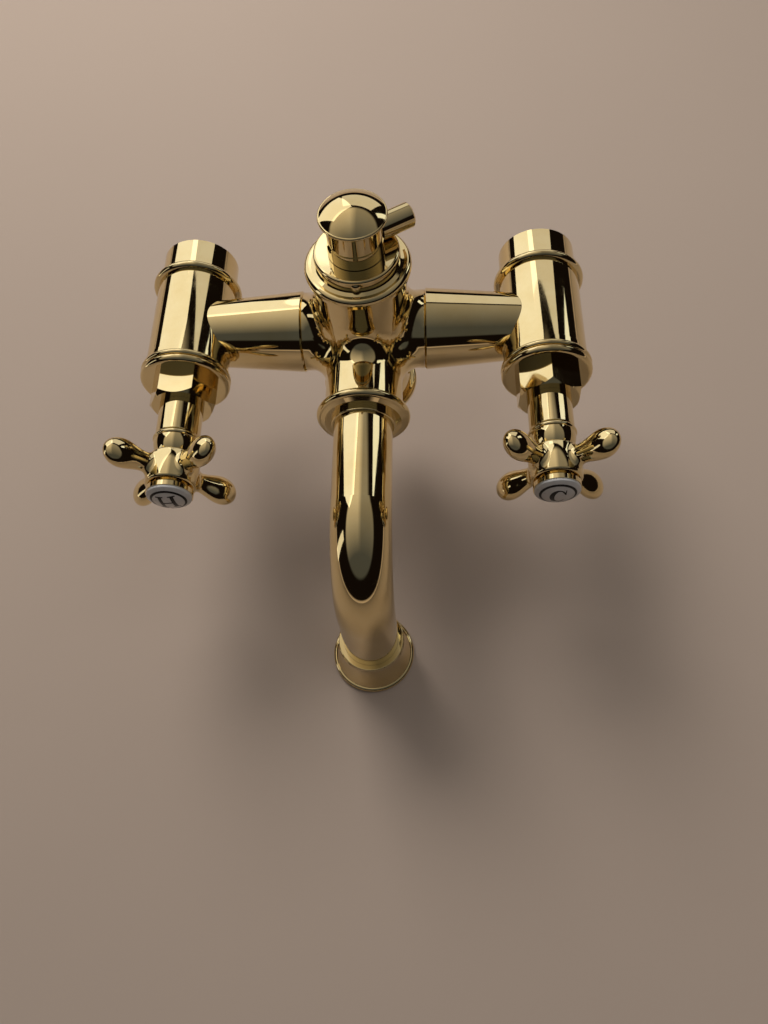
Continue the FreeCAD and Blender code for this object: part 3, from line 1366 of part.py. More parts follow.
def make_spout_collar():
    """Collar nut: threaded plug in the boss, bead, dished face and the gland round the tube."""
    bore = mm.tube_radius + mm.slip_gap
    plug = mm.collar_socket_radius - mm.slip_gap
    bead_middle = mm.spout_boss_reach + mm.collar_bead_place
    bead_back = bead_middle - mm.collar_bead_half
    face = bead_middle + mm.collar_face_place
    gland_front = face + mm.gland_length
    shape = Outline()
    shape.to(bore, collar_back - mm.collar_plug_length)
    shape.to(plug, collar_back - mm.collar_plug_length)
    shape.to(plug, collar_back)
    shape.to(mm.spout_boss_radius, collar_back)
    shape.to(mm.spout_boss_radius, bead_back)
    shoulder = mm.collar_bead_radius - mm.collar_bead_half
    shape.to(shoulder, bead_back)
    shape.arc_to((shoulder, bead_middle), 1, shoulder, bead_middle + mm.collar_bead_half)
    shape.to(mm.collar_face_radius, face)
    shape.to(mm.gland_radius, face)
    shape.round_corner(mm.gland_radius, gland_front, mm.gland_edge)
    shape.to(bore, gland_front)
    return place_spout(turned_piece("spout_collar", shape))


def make_spout_seal():
    """Sealing ring squeezed between the tube, its socket and the collar nut."""
    middle_radius = (mm.tube_radius + mm.collar_socket_radius) / 2
    front = collar_back - mm.collar_plug_length
    middle = front - mm.tube_seal_wire
    shape = Outline()
    shape.to(middle_radius, middle - mm.tube_seal_wire)
    shape.arc_to((middle_radius, middle), 1, middle_radius, middle + mm.tube_seal_wire)
    shape.close_with_arc((middle_radius, middle), 1)
    return place_spout(turned_piece("spout_seal", shape))


def make_outlet_bell():
    """Flared bell on the spout's end: a short collar, a hollow flare and a rounded lip."""
    seat = mm.tube_radius + mm.slip_gap
    collar_low = outlet_top - mm.outlet_collar_height
    lip_middle = mm.outlet_bottom + mm.outlet_lip_half
    lip_shoulder = mm.outlet_lip_radius - mm.outlet_lip_half
    flare_low = lip_middle + mm.outlet_lip_half
    thread = mm.aerator_radius + mm.slip_gap
    # The flare is a hollow arc that starts upright at the throat.
    drop = (collar_low - flare_low).value
    spread = (lip_shoulder - mm.outlet_throat_radius).value
    hollow = (drop ** 2 + spread ** 2) / (2 * spread)
    shape = Outline()
    shape.to(thread, mm.outlet_bottom)
    shape.to(lip_shoulder, mm.outlet_bottom)
    shape.arc_to((lip_shoulder, lip_middle), 1, lip_shoulder, flare_low)
    shape.arc_to((mm.outlet_throat_radius + hollow, collar_low), -1,
                 mm.outlet_throat_radius, collar_low)
    shape.to(mm.outlet_collar_radius, collar_low)
    shape.round_corner(mm.outlet_collar_radius, outlet_top, mm.outlet_collar_edge)
    shape.to(seat, outlet_top)
    shape.to(seat, outlet_seat)
    shape.to(thread, outlet_seat)
    body = turned_piece("outlet_bell", shape, "XZ_Plane")
    return place(body, forward=-mm.outlet_reach)


def make_aerator():
    """Ribbed aerator ring screwed into the bell."""
    top = outlet_seat - mm.slip_gap
    low = top - mm.aerator_length
    inner = mm.aerator_radius - mm.aerator_wall
    body = turned_piece("aerator_housing", tube_outline(inner, mm.aerator_radius, low, top),
                        "XZ_Plane")
    half = mm.aerator_rib_width / 2
    for name, role in (("across", "YZ_Plane"), ("along", "XZ_Plane")):
        rib = sketch_on(body, f"aerator_rib_{name}", role)
        draw_rectangle(rib, (-half, low), (half, low + mm.aerator_wall))
        extrude(body, f"rib_{name}", rib, inner * 2 + mm.slip_gap * 2, both_ways=True)
    return place(body, forward=-mm.outlet_reach)


def make_aerator_insert():
    """Drilled insert that fills the housing above its ribs and breaks up the stream."""
    top = outlet_seat - mm.slip_gap
    low = top - mm.aerator_length + mm.aerator_wall + mm.slip_gap
    radius = mm.aerator_radius - mm.aerator_wall - mm.slip_gap
    shape = Outline().to(0, low).to(radius, low).to(radius, top).to(0, top)
    body = turned_piece("aerator_insert", shape, "XZ_Plane")
    rings = (("outer", mm.insert_outer_circle, INSERT_OUTER_HOLES),
             ("inner", mm.insert_inner_circle, INSERT_INNER_HOLES))
    for name, circle, count in rings:
        holes = sketch_on(body, f"{name}_hole_circle", "XY_Plane", top)
        # The first hole stands between two ribs.
        turn = math.pi / 4 if name == "inner" else math.pi / 12
        draw_circle(holes, mm.insert_hole_radius, circle * math.cos(turn), circle * math.sin(turn))
        hole = extrude(body, f"{name}_hole", holes, mm.aerator_length, cut=True)
        doc.recompute()
        pattern = body.newObject("PartDesign::PolarPattern", f"{name}_holes")
        pattern.Originals = [hole]
        pattern.Axis = (holes, ["N_Axis"])
        pattern.Angle = FULL_TURN
        pattern.Occurrences = count
        body.Tip = pattern
    return place(body, forward=-mm.outlet_reach)


def make_side(name, side, hex_turn):
    """Everything on one side axis: union, body, headwork, discs, shroud and handle."""
    make_inlet_nut(name, side)
    make_inlet_washer(name, side)
    make_inlet_strainer(name, side)
    make_side_body(name, side)
    make_headwork(name, side, hex_turn)
    make_seat_seal(name, side)
    make_ceramic_disc(f"{name}_fixed_disc", side, fixed_disc_back, 0, False)
    make_ceramic_disc(f"{name}_moving_disc", side, moving_disc_back, QUARTER_TURN, True)
    make_shroud(name, side)
    make_side_arm(name, side)
    place_side(make_spindle(name, side), side)
    place_side(make_spindle_ring(name), side)
    place_side(make_handle(name), side, Rotation(Vector(0, 1, 0), SIZES["handle_rest_angle"]))
    place_side(make_index_disc(name), side)
    place_side(make_handle_screw(name), side)


def check_all():
    """Stop if any object failed or any piece has a bad solid."""
    for item in doc.Objects:
        if "Invalid" in item.State or "Error" in item.State:
            raise RuntimeError(f"{item.Label} failed: {item.State}")
    for body in made:
        if body.Shape.isNull() or not body.Shape.isValid():
            raise RuntimeError(f"{body.Label} has no valid shape")


def export_all():
    os.makedirs("parts", exist_ok=True)
    for body in made:
        body.Shape.exportStep(os.path.join("parts", f"{body.Label}.step"))


make_side("hot", -1, 0)
make_side("cold", 1, HALF_FLAT_TURN)
make_centre_body()
make_shower_outlet()
make_diverter_bonnet()
make_diverter_plate()
make_plate_screw()
make_diverter_sleeve()
make_sleeve_seal()
make_diverter_rotor()
make_diverter_stem()
make_diverter_cap()
make_diverter_lever()
make_grub_screw()
make_spout_tube()
make_spout_collar()
make_spout_seal()
make_outlet_bell()
make_aerator()
make_aerator_insert()
doc.recompute()
check_all()
export_all()
print(f"{len(made)} pieces written")
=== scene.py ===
import json
import math

import bmesh
import bpy
from mathutils import Matrix, Vector


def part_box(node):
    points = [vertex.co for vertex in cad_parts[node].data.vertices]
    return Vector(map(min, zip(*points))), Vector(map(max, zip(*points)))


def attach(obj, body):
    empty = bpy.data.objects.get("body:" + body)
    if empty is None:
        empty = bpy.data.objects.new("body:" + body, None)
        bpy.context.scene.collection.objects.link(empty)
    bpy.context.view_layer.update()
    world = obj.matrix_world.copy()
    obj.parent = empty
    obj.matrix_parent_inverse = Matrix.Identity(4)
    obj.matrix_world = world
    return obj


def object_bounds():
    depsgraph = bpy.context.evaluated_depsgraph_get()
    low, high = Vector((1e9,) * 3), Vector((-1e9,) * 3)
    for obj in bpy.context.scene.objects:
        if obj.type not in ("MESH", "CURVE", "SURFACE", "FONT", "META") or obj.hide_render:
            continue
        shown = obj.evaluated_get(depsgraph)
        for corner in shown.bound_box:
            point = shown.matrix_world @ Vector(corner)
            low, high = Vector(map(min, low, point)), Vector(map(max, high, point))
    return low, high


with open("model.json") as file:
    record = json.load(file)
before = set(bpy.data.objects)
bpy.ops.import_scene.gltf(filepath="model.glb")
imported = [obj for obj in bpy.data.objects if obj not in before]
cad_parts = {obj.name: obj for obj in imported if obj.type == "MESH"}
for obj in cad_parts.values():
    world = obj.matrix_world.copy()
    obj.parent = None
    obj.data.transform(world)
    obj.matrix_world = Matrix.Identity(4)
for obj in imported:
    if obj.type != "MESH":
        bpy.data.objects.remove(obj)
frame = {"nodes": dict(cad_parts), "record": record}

bl_info = {
    "name": "Bath Mixer Finish",
    "version": (1, 0, 0),
    "blender": (4, 5, 0),
    "location": "View3D > Sidebar > Bath Mixer",
    "description": "Dresses a wall-mounted bath mixer in polished gold, porcelain and ink",
    "category": "Object",
}

CAD_BOX = [list(corner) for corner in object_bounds()]

# The photograph's camera, in the part's frame: metres, degrees and pixels of its long side.
CAMERA_PLACE = Vector((0.02574, -0.27238, 0.28267))
CAMERA_PITCH = 62.70
CAMERA_YAW = 6.61
CAMERA_ROLL = 6.73
FOCAL_PIXELS = 837.38
LONG_SIDE_PIXELS = 1024
SENSOR = 36.0
NEAREST, FARTHEST = 0.01, 50.0

# Pipe threads, 14 to the inch. Those in the union nuts run along Y, each round an axis at its
# own X and the height 0, from one place on Y to another and out to a reach from the axis.
PIPE_PITCH = 0.0254 / 14
INLET_THREADS = {"hot_inlet_nut": -0.075, "cold_inlet_nut": 0.075}
INLET_SPAN = (-0.0068, 0.001)
INLET_REACH = 0.0123
INLET_DEPTH = 0.0007

# The male thread of the shower outlet, a ridge that winds round the nipple along Z. Its root
# and its crest reach these shares of the pitch to either side of its middle.
NIPPLE = {"centre": (0.0, -0.04), "span": (-0.0497, -0.0406), "radius": 0.0104, "rise": 0.0005}
STEPS_PER_TURN = 60
ROOT_REACH, CREST_REACH = 0.42, 0.09

# The marks: the steps round an inked ring, and the rays that lay a mark on its disc, which
# start at this Y and go to the wall.
RING_STEPS = 96
FAR_IN_FRONT = -1.0
TO_THE_WALL = Vector((0, 1, 0))

# The stage: half the floor's width, the point that the soft boxes face, and for each box the
# way to it from there, how far off and how large it is, the setting with its brightness, its
# tint, and whether polished metal mirrors it.
FLOOR_HALF = 1.1
AIM = Vector((0, -0.08, 0))
SOFT_BOXES = {
    "key_box": {
        "way": (-0.55, 0.72, 0.60), "distance": 1.5, "size": (1.15, 1.2),
        "glow": "key_glow", "tint": (1, 0.98, 0.93), "mirrored": True},
    "left_box": {
        "way": (-1.0, -0.15, 0.20), "distance": 1.5, "size": (0.25, 0.9),
        "glow": "side_glow", "tint": (1, 0.97, 0.92), "mirrored": True},
    "second_box": {
        "way": (0.12, 0.86, 0.50), "distance": 1.5, "size": (1.25, 0.95),
        "glow": "second_glow", "tint": (1, 0.96, 0.90), "mirrored": True},
    "right_box": {
        "way": (0.68, 0.53, 0.46), "distance": 1.5, "size": (0.24, 0.55),
        "glow": "key_glow", "tint": (0.93, 0.98, 1), "mirrored": True},
    "window_box": {
        "way": (-0.38, 0.74, 0.86), "distance": 1.1, "size": (0.5, 0.5),
        "glow": "window_glow", "tint": (1, 0.97, 0.93), "mirrored": False},
    "overhead_box": {
        "way": (0.45, -0.05, 1.0), "distance": 1.2, "size": (0.8, 0.8),
        "glow": "overhead_glow", "tint": (1, 0.98, 0.96), "mirrored": False},
}

# How much higher the mirrored ceiling begins towards the wall.
CEILING_TILT = 0.25

# Sockets of the mix node when it mixes colours.
MIX_SHARE, MIX_FIRST, MIX_SECOND, MIX_RESULT = 0, 6, 7, 2


class FinishSettings(bpy.types.PropertyGroup):
    gold: bpy.props.FloatVectorProperty(
        name="Gold", description="Colour of the polished gold plating", subtype="COLOR",
        size=4, min=0, max=1, default=(0.80, 0.66, 0.37, 1))
    deep_gold: bpy.props.FloatVectorProperty(
        name="Deep gold", description="Colour where the plating is a little thicker",
        subtype="COLOR", size=4, min=0, max=1, default=(0.75, 0.59, 0.30, 1))
    brass: bpy.props.FloatVectorProperty(
        name="Brass", description="Colour of the unplated brass inside", subtype="COLOR",
        size=4, min=0, max=1, default=(0.62, 0.45, 0.20, 1))
    # The porcelain is white; this grey colour is painted shade for discs that face away from
    # the light.
    porcelain: bpy.props.FloatVectorProperty(
        name="Porcelain", description="Colour of the glazed index discs", subtype="COLOR",
        size=4, min=0, max=1, default=(0.60, 0.585, 0.57, 1))
    steel: bpy.props.FloatVectorProperty(
        name="Steel", description="Colour of the strainers and the small screws",
        subtype="COLOR", size=4, min=0, max=1, default=(0.56, 0.56, 0.57, 1))
    alumina: bpy.props.FloatVectorProperty(
        name="Alumina", description="Colour of the ceramic valve discs", subtype="COLOR",
        size=4, min=0, max=1, default=(0.86, 0.85, 0.80, 1))
    rubber: bpy.props.FloatVectorProperty(
        name="Rubber", description="Colour of the seals", subtype="COLOR",
        size=4, min=0, max=1, default=(0.022, 0.022, 0.023, 1))
    plastic: bpy.props.FloatVectorProperty(
        name="Plastic", description="Colour of the aerator's insert", subtype="COLOR",
        size=4, min=0, max=1, default=(0.62, 0.63, 0.63, 1))
    ink: bpy.props.FloatVectorProperty(
        name="Ink", description="Colour of the fired marks on the index discs",
        subtype="COLOR", size=4, min=0, max=1, default=(0.006, 0.0055, 0.006, 1))
    polish: bpy.props.FloatProperty(
        name="Polish", description="Roughness of the cleanest gold", subtype="FACTOR",
        min=0.01, max=0.5, default=0.035)
    smudge: bpy.props.FloatProperty(
        name="Smudge", description="Roughness where the gold has been touched",
        subtype="FACTOR", min=0.01, max=0.6, default=0.085)


class MarkSettings(bpy.types.PropertyGroup):
    ring_radius: bpy.props.FloatProperty(
        name="Ring radius", description="Middle of the inked ring", subtype="DISTANCE",
        unit="LENGTH", min=0.002, max=0.009, default=0.0067)
    ring_width: bpy.props.FloatProperty(
        name="Ring width", description="Width of the inked ring", subtype="DISTANCE",
        unit="LENGTH", min=0.0001, max=0.002, default=0.0009)
    height: bpy.props.FloatProperty(
        name="Letter height", description="Height of the H and the C", subtype="DISTANCE",
        unit="LENGTH", min=0.002, max=0.012, default=0.0084)
    ink_depth: bpy.props.FloatProperty(
        name="Ink depth", description="How far the fired ink stands off the glaze",
        subtype="DISTANCE", unit="LENGTH", min=0.00001, max=0.0002, default=0.00004)
    hot_lean: bpy.props.FloatProperty(
        name="Hot lean", description="How far the H leans to the left", subtype="ANGLE",
        unit="ROTATION", default=math.radians(4))
    cell: bpy.props.FloatProperty(
        name="Cell", description="Size of the cells that let a mark bend over the dome",
        subtype="DISTANCE", unit="LENGTH", min=0.0001, max=0.002, default=0.0004)


class StageSettings(bpy.types.PropertyGroup):
    floor: bpy.props.FloatVectorProperty(
        name="Floor", description="Colour of the plain floor", subtype="COLOR",
        size=4, min=0, max=1, default=(0.45, 0.355, 0.29, 1))
    room: bpy.props.FloatVectorProperty(
        name="Room", description="Light from all round on dull surfaces", subtype="COLOR",
        size=4, min=0, max=1, default=(0.05, 0.049, 0.048, 1))
    backdrop: bpy.props.FloatVectorProperty(
        name="Backdrop", description="Pale background above the floor's edge",
        subtype="COLOR", size=4, min=0, max=1, default=(0.46, 0.40, 0.345, 1))
    dark_room: bpy.props.FloatVectorProperty(
        name="Dark room", description="What polished metal mirrors below the ceiling",
        subtype="COLOR", size=4, min=0, max=1, default=(0.006, 0.004, 0.003, 1))
    ceiling_front: bpy.props.FloatVectorProperty(
        name="Ceiling in front", description="What metal mirrors high up on the bather's side",
        subtype="COLOR", size=4, min=0, max=1, default=(0.07, 0.075, 0.08, 1))
    ceiling_back: bpy.props.FloatVectorProperty(
        name="Ceiling behind", description="What metal mirrors high up on the wall's side",
        subtype="COLOR", size=4, min=0, max=1, default=(0.84, 0.74, 0.60, 1))
    key_glow: bpy.props.FloatProperty(
        name="Key glow", description="Brightness of the boxes behind left and at the right",
        min=0, max=10, default=1.15)
    second_glow: bpy.props.FloatProperty(
        name="Second glow", description="Brightness of the dimmer box beside the large one",
        min=0, max=10, default=0.72)
    side_glow: bpy.props.FloatProperty(
        name="Side glow", description="Brightness of the narrow soft box at the left",
        min=0, max=10, default=0.9)
    window_glow: bpy.props.FloatProperty(
        name="Window glow", description="Brightness of the box that lights the floor",
        min=0, max=20, default=9.6)
    overhead_glow: bpy.props.FloatProperty(
        name="Overhead glow", description="Brightness of the box high above the mixer",
        min=0, max=20, default=1.5)


def add_node(tree, kind, inputs=(), **settings):
    """New shader node; each input is a number, a colour or another node's output."""
    node = tree.nodes.new(kind)
    for name, value in settings.items():
        setattr(node, name, value)
    for name, value in dict(inputs).items():
        socket = node.inputs[name]
        if isinstance(value, bpy.types.NodeSocket):
            tree.links.new(value, socket)
        else:
            socket.default_value = value
    return node


def new_material(name, colour):
    """Material with its shader and the object's own coordinates ready."""
    material = bpy.data.materials.new(name)
    material.use_nodes = True
    material.diffuse_color = colour
    shader = material.node_tree.nodes["Principled BSDF"]
    coordinates = add_node(material.node_tree, "ShaderNodeTexCoord")
    return material, material.node_tree, shader, coordinates.outputs["Object"]


def noise(tree, place, scale, detail=3.0, roughness=0.5):
    """Soft noise over the object's own coordinates."""
    inputs = {"Vector": place, "Scale": scale, "Detail": detail, "Roughness": roughness}
    return add_node(tree, "ShaderNodeTexNoise", inputs).outputs["Fac"]


def ramp(tree, value, low, high, start, end):
    """Carry a value from one range to another, held at the ends."""
    inputs = {"Value": value, "From Min": low, "From Max": high, "To Min": start, "To Max": end}
    return add_node(tree, "ShaderNodeMapRange", inputs, clamp=True).outputs["Result"]


def blend_colours(tree, share, first, second):
    """Mix of two colours, each a value or another node's output."""
    node = add_node(tree, "ShaderNodeMix", data_type="RGBA")
    for socket, colour in ((node.inputs[MIX_FIRST], first), (node.inputs[MIX_SECOND], second)):
        if isinstance(colour, bpy.types.NodeSocket):
            tree.links.new(colour, socket)
        else:
            socket.default_value = colour
    tree.links.new(share, node.inputs[MIX_SHARE])
    return node.outputs[MIX_RESULT]


def scaled(colour, share):
    """A colour with its three parts times a share."""
    return [part * share for part in colour[:3]] + [1.0]


def paint(tree, shader, share, first, second):
    """Surface colour that wanders between two."""
    tree.links.new(blend_colours(tree, share, first, second), shader.inputs["Base Color"])


def bump(tree, height, strength, distance, under=None):
    """Surface direction over small heights, on top of what lies under them."""
    inputs = {"Height": height, "Strength": strength, "Distance": distance}
    if under is not None:
        inputs["Normal"] = under
    return add_node(tree, "ShaderNodeBump", inputs).outputs["Normal"]


def calc(tree, operation, *values):
    """Arithmetic on numbers and node outputs."""
    node = add_node(tree, "ShaderNodeMath", operation=operation)
    for socket, value in zip(node.inputs, values):
        if isinstance(value, bpy.types.NodeSocket):
            tree.links.new(value, socket)
        else:
            socket.default_value = value
    return node.outputs[0]


def thread_height(tree, place, across):
    """Height of the thread round the inlet at this X, 0 in the groove and 1 on the crest."""
    parts = add_node(tree, "ShaderNodeSeparateXYZ", {"Vector": place}).outputs
    along = parts["Y"]
    beside, above = calc(tree, "SUBTRACT", parts["X"], across), parts["Z"]
    turn = calc(tree, "DIVIDE", calc(tree, "ARCTAN2", above, beside), 2 * math.pi)
    turns = calc(tree, "ADD", calc(tree, "DIVIDE", along, PIPE_PITCH), turn)
    height = calc(tree, "MULTIPLY", calc(tree, "PINGPONG", turns, 0.5), 2.0)
    squares = [calc(tree, "MULTIPLY", part, part) for part in (beside, above)]
    near = calc(tree, "LESS_THAN", calc(tree, "ADD", *squares), INLET_REACH ** 2)
    begun = calc(tree, "GREATER_THAN", along, INLET_SPAN[0])
    unended = calc(tree, "LESS_THAN", along, INLET_SPAN[1])
    within = calc(tree, "MULTIPLY", calc(tree, "MULTIPLY", begun, unended), near)
    return calc(tree, "MULTIPLY", height, within)


def polished_gold(finish, inlet_across=None):
    """Mirror-bright plating with faint smudges, a trace of polishing waves and any thread."""
    material, tree, shader, place = new_material("polished_gold", finish.gold)
    shader.inputs["Metallic"].default_value = 1.0
    patches = noise(tree, place, scale=60.0, detail=4.0, roughness=0.6)
    thickness = ramp(tree, patches, low=0.35, high=0.7, start=0.0, end=1.0)
    paint(tree, shader, thickness, finish.gold, finish.deep_gold)
    touched = noise(tree, place, scale=140.0, detail=6.0, roughness=0.65)
    gloss = ramp(tree, touched, low=0.42, high=0.72, start=finish.polish, end=finish.smudge)
    tree.links.new(gloss, shader.inputs["Roughness"])
    waves = noise(tree, place, scale=90.0, detail=2.0, roughness=0.4)
    surface = bump(tree, waves, strength=0.2, distance=0.00004)
    if inlet_across is not None:
        thread = thread_height(tree, place, inlet_across)
        surface = bump(tree, thread, strength=1.0, distance=INLET_DEPTH, under=surface)
    tree.links.new(surface, shader.inputs["Normal"])
    return material


def turned_brass(finish):
    """Unplated brass with fine lathe marks."""
    material, tree, shader, place = new_material("turned_brass", finish.brass)
    shader.inputs["Metallic"].default_value = 1.0
    clouds = noise(tree, place, scale=220.0, detail=5.0)
    stain = ramp(tree, clouds, low=0.3, high=0.75, start=0.0, end=1.0)
    paint(tree, shader, stain, finish.brass, scaled(finish.brass, 0.72))
    marks = noise(tree, place, scale=1500.0, detail=2.0)
    gloss = ramp(tree, marks, low=0.3, high=0.7, start=0.22, end=0.4)
    tree.links.new(gloss, shader.inputs["Roughness"])
    surface = bump(tree, marks, strength=0.3, distance=0.00003)
    tree.links.new(surface, shader.inputs["Normal"])
    return material


def brushed_steel(finish):
    """Plain steel of the strainers and the small screws."""
    material, tree, shader, place = new_material("brushed_steel", finish.steel)
    shader.inputs["Metallic"].default_value = 1.0
    grain = noise(tree, place, scale=1800.0, detail=3.0)
    darker = (0.48, 0.48, 0.50, 1.0)
    paint(tree, shader, grain, finish.steel, darker)
    gloss = ramp(tree, grain, low=0.3, high=0.7, start=0.2, end=0.38)
    tree.links.new(gloss, shader.inputs["Roughness"])
    surface = bump(tree, grain, strength=0.2, distance=0.00002)
    tree.links.new(surface, shader.inputs["Normal"])
    return material


def glazed_porcelain(finish):
    """White body under a clear glaze, faintly uneven, its colour set grey as painted shade."""
    material, tree, shader, place = new_material("glazed_porcelain", finish.porcelain)
    clouds = noise(tree, place, scale=320.0, detail=4.0)
    body = ramp(tree, clouds, low=0.3, high=0.7, start=0.0, end=1.0)
    paint(tree, shader, body, finish.porcelain, scaled(finish.porcelain, 0.93))
    shader.inputs["Coat Weight"].default_value = 0.8
    shader.inputs["Coat Roughness"].default_value = 0.06
    glaze = noise(tree, place, scale=500.0)
    gloss = ramp(tree, glaze, low=0.3, high=0.7, start=0.25, end=0.4)
    tree.links.new(gloss, shader.inputs["Roughness"])
    ripples = noise(tree, place, scale=260.0, detail=1.0)
    surface = bump(tree, ripples, strength=0.2, distance=0.00005)
    tree.links.new(surface, shader.inputs["Normal"])
    return material


def fired_ink(finish):
    """Black enamel of the marks, glossy but thin."""
    material, tree, shader, place = new_material("fired_ink", finish.ink)
    specks = noise(tree, place, scale=900.0, detail=5.0)
    wear = ramp(tree, specks, low=0.55, high=0.8, start=0.0, end=0.5)
    worn = (0.028, 0.025, 0.025, 1.0)
    paint(tree, shader, wear, finish.ink, worn)
    gloss = ramp(tree, wear, low=0.0, high=0.5, start=0.3, end=0.5)
    tree.links.new(gloss, shader.inputs["Roughness"])
    shader.inputs["Specular IOR Level"].default_value = 0.25
    return material


def valve_ceramic(finish):
    """Lapped white alumina of the valve discs."""
    material, tree, shader, place = new_material("valve_ceramic", finish.alumina)
    grain = noise(tree, place, scale=900.0, detail=5.0)
    greyer = (0.78, 0.77, 0.72, 1.0)
    paint(tree, shader, grain, finish.alumina, greyer)
    gloss = ramp(tree, grain, low=0.3, high=0.7, start=0.2, end=0.35)
    tree.links.new(gloss, shader.inputs["Roughness"])
    return material


def seal_rubber(finish):
    """Black nitrile rubber with a faint bloom."""
    material, tree, shader, place = new_material("seal_rubber", finish.rubber)
    clouds = noise(tree, place, scale=420.0, detail=6.0)
    bloom = ramp(tree, clouds, low=0.5, high=0.8, start=0.0, end=1.0)
    bloomed = (0.055, 0.055, 0.055, 1.0)
    paint(tree, shader, bloom, finish.rubber, bloomed)
    gloss = ramp(tree, bloom, low=0.0, high=1.0, start=0.45, end=0.75)
    tree.links.new(gloss, shader.inputs["Roughness"])
    surface = bump(tree, bloom, strength=0.25, distance=0.00004)
    tree.links.new(surface, shader.inputs["Normal"])
    return material


def insert_plastic(finish):
    """Moulded grey-white plastic of the aerator's insert."""
    material, tree, shader, place = new_material("insert_plastic", finish.plastic)
    cloud = noise(tree, place, scale=300.0, detail=3.0)
    greyer = (0.52, 0.53, 0.54, 1.0)
    paint(tree, shader, cloud, finish.plastic, greyer)
    gloss = ramp(tree, cloud, low=0.3, high=0.7, start=0.35, end=0.5)
    tree.links.new(gloss, shader.inputs["Roughness"])
    return material


FINISHES = {
    "gold": polished_gold,
    "raw_brass": turned_brass,
    "steel": brushed_steel,
    "porcelain": glazed_porcelain,
    "ink": fired_ink,
    "ceramic": valve_ceramic,
    "rubber": seal_rubber,
    "plastic": insert_plastic,
}


def finish_material(slot, nut=None):
    """The finish of one slot, made the first time it is asked for; a nut has its own thread."""
    name = f"finish_{slot}_{nut}" if nut else f"finish_{slot}"
    if name not in bpy.data.materials:
        inlet = [INLET_THREADS[nut]] if nut else []
        made = FINISHES[slot](bpy.context.scene.mixer_finish, *inlet)
        made.name = name
    return bpy.data.materials[name]


def smooth_shade(thing, angle=30.0):
    """Smooth shading that keeps edges sharper than the angle."""
    thing.data.shade_smooth()
    thing.data.set_sharp_from_angle(angle=math.radians(angle))


def new_piece(name, shape, slot, body):
    """Object from a bmesh, finished and riding on its body."""
    mesh = bpy.data.meshes.new(name)
    shape.to_mesh(mesh)
    shape.free()
    piece = bpy.data.objects.new(name, mesh)
    bpy.context.scene.collection.objects.link(piece)
    mesh.materials.append(finish_material(slot))
    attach(piece, body)
    return piece


def slice_up(shape, cell, reach):
    """Cut a flat shape across X and Z into cells small enough to bend."""
    steps = math.ceil(reach / cell)
    for axis in (Vector((1, 0, 0)), Vector((0, 0, 1))):
        for step in range(-steps, steps + 1):
            everything = shape.verts[:] + shape.edges[:] + shape.faces[:]
            bmesh.ops.bisect_plane(shape, geom=everything, plane_co=axis * cell * step,
                                   plane_no=axis)


def lay_on(shape, disc, centre, depth):
    """Lay a flat shape on the front of a disc and thicken it to a skin of ink."""
    for corner in shape.verts:
        start = Vector((centre.x + corner.co.x, FAR_IN_FRONT, centre.z + corner.co.z))
        hit, place, outward, _ = disc.ray_cast(start, TO_THE_WALL)
        if hit:
            corner.co = place + outward * depth
    bmesh.ops.recalc_face_normals(shape, faces=shape.faces)
    bmesh.ops.solidify(shape, geom=shape.faces[:], thickness=depth * 2)
    bmesh.ops.recalc_face_normals(shape, faces=shape.faces)


def winding_ridge(nipple, pitch):
    """Thread ridge that rises out of a round wall and sinks back into it at both ends."""
    x, y = nipple["centre"]
    low, high = nipple["span"]
    foot, top = nipple["radius"] - nipple["rise"] / 4, nipple["radius"] + nipple["rise"]
    steps = math.floor((high - low) / pitch * STEPS_PER_TURN)
    half_turn = STEPS_PER_TURN / 2
    shape = bmesh.new()
    rows = []
    for step in range(1, steps):
        turn, height = 2 * math.pi * step / STEPS_PER_TURN, low + pitch * step / STEPS_PER_TURN
        out = min(1.0, step / half_turn, (steps - step) / half_turn)
        crest = foot + (top - foot) * out
        profile = ((foot, -ROOT_REACH), (crest, -CREST_REACH), (crest, CREST_REACH),
                   (foot, ROOT_REACH))
        rows.append([shape.verts.new((x + radius * math.cos(turn), y + radius * math.sin(turn),
                                      height + pitch * share)) for radius, share in profile])
    for row, after in zip(rows, rows[1:]):
        for index in range(len(row)):
            beside = (index + 1) % len(row)
            shape.faces.new((row[index], row[beside], after[beside], after[index]))
    shape.faces.new(rows[0])
    shape.faces.new(rows[-1])
    bmesh.ops.recalc_face_normals(shape, faces=shape.faces)
    return shape


class MIXER_OT_cad_finish(bpy.types.Operator):
    """Give every CAD node its finish and smooth shading"""

    bl_idname = "mixer.cad_finish"
    bl_label = "Finish the CAD nodes"

    def execute(self, context):
        slots = {item["node"]: item["material_slot"] for item in frame["record"]["subparts"]}
        for name, node in frame["nodes"].items():
            node.data.materials.clear()
            nut = name if name in INLET_THREADS else None
            node.data.materials.append(finish_material(slots[name], nut))
            smooth_shade(node)
        return {"FINISHED"}


class MIXER_OT_outlet_thread(bpy.types.Operator):
    """Wind the male thread round the shower outlet"""

    bl_idname = "mixer.outlet_thread"
    bl_label = "Cut the outlet's thread"

    def execute(self, context):
        piece = new_piece("shower_thread", winding_ridge(NIPPLE, PIPE_PITCH), "gold", "valve")
        smooth_shade(piece)
        return {"FINISHED"}


def ring_outline(radius):
    """Points of a circle that faces the bather."""
    turns = (2 * math.pi * index / RING_STEPS for index in range(RING_STEPS))
    return [Vector((radius * math.cos(turn), 0, radius * math.sin(turn))) for turn in turns]


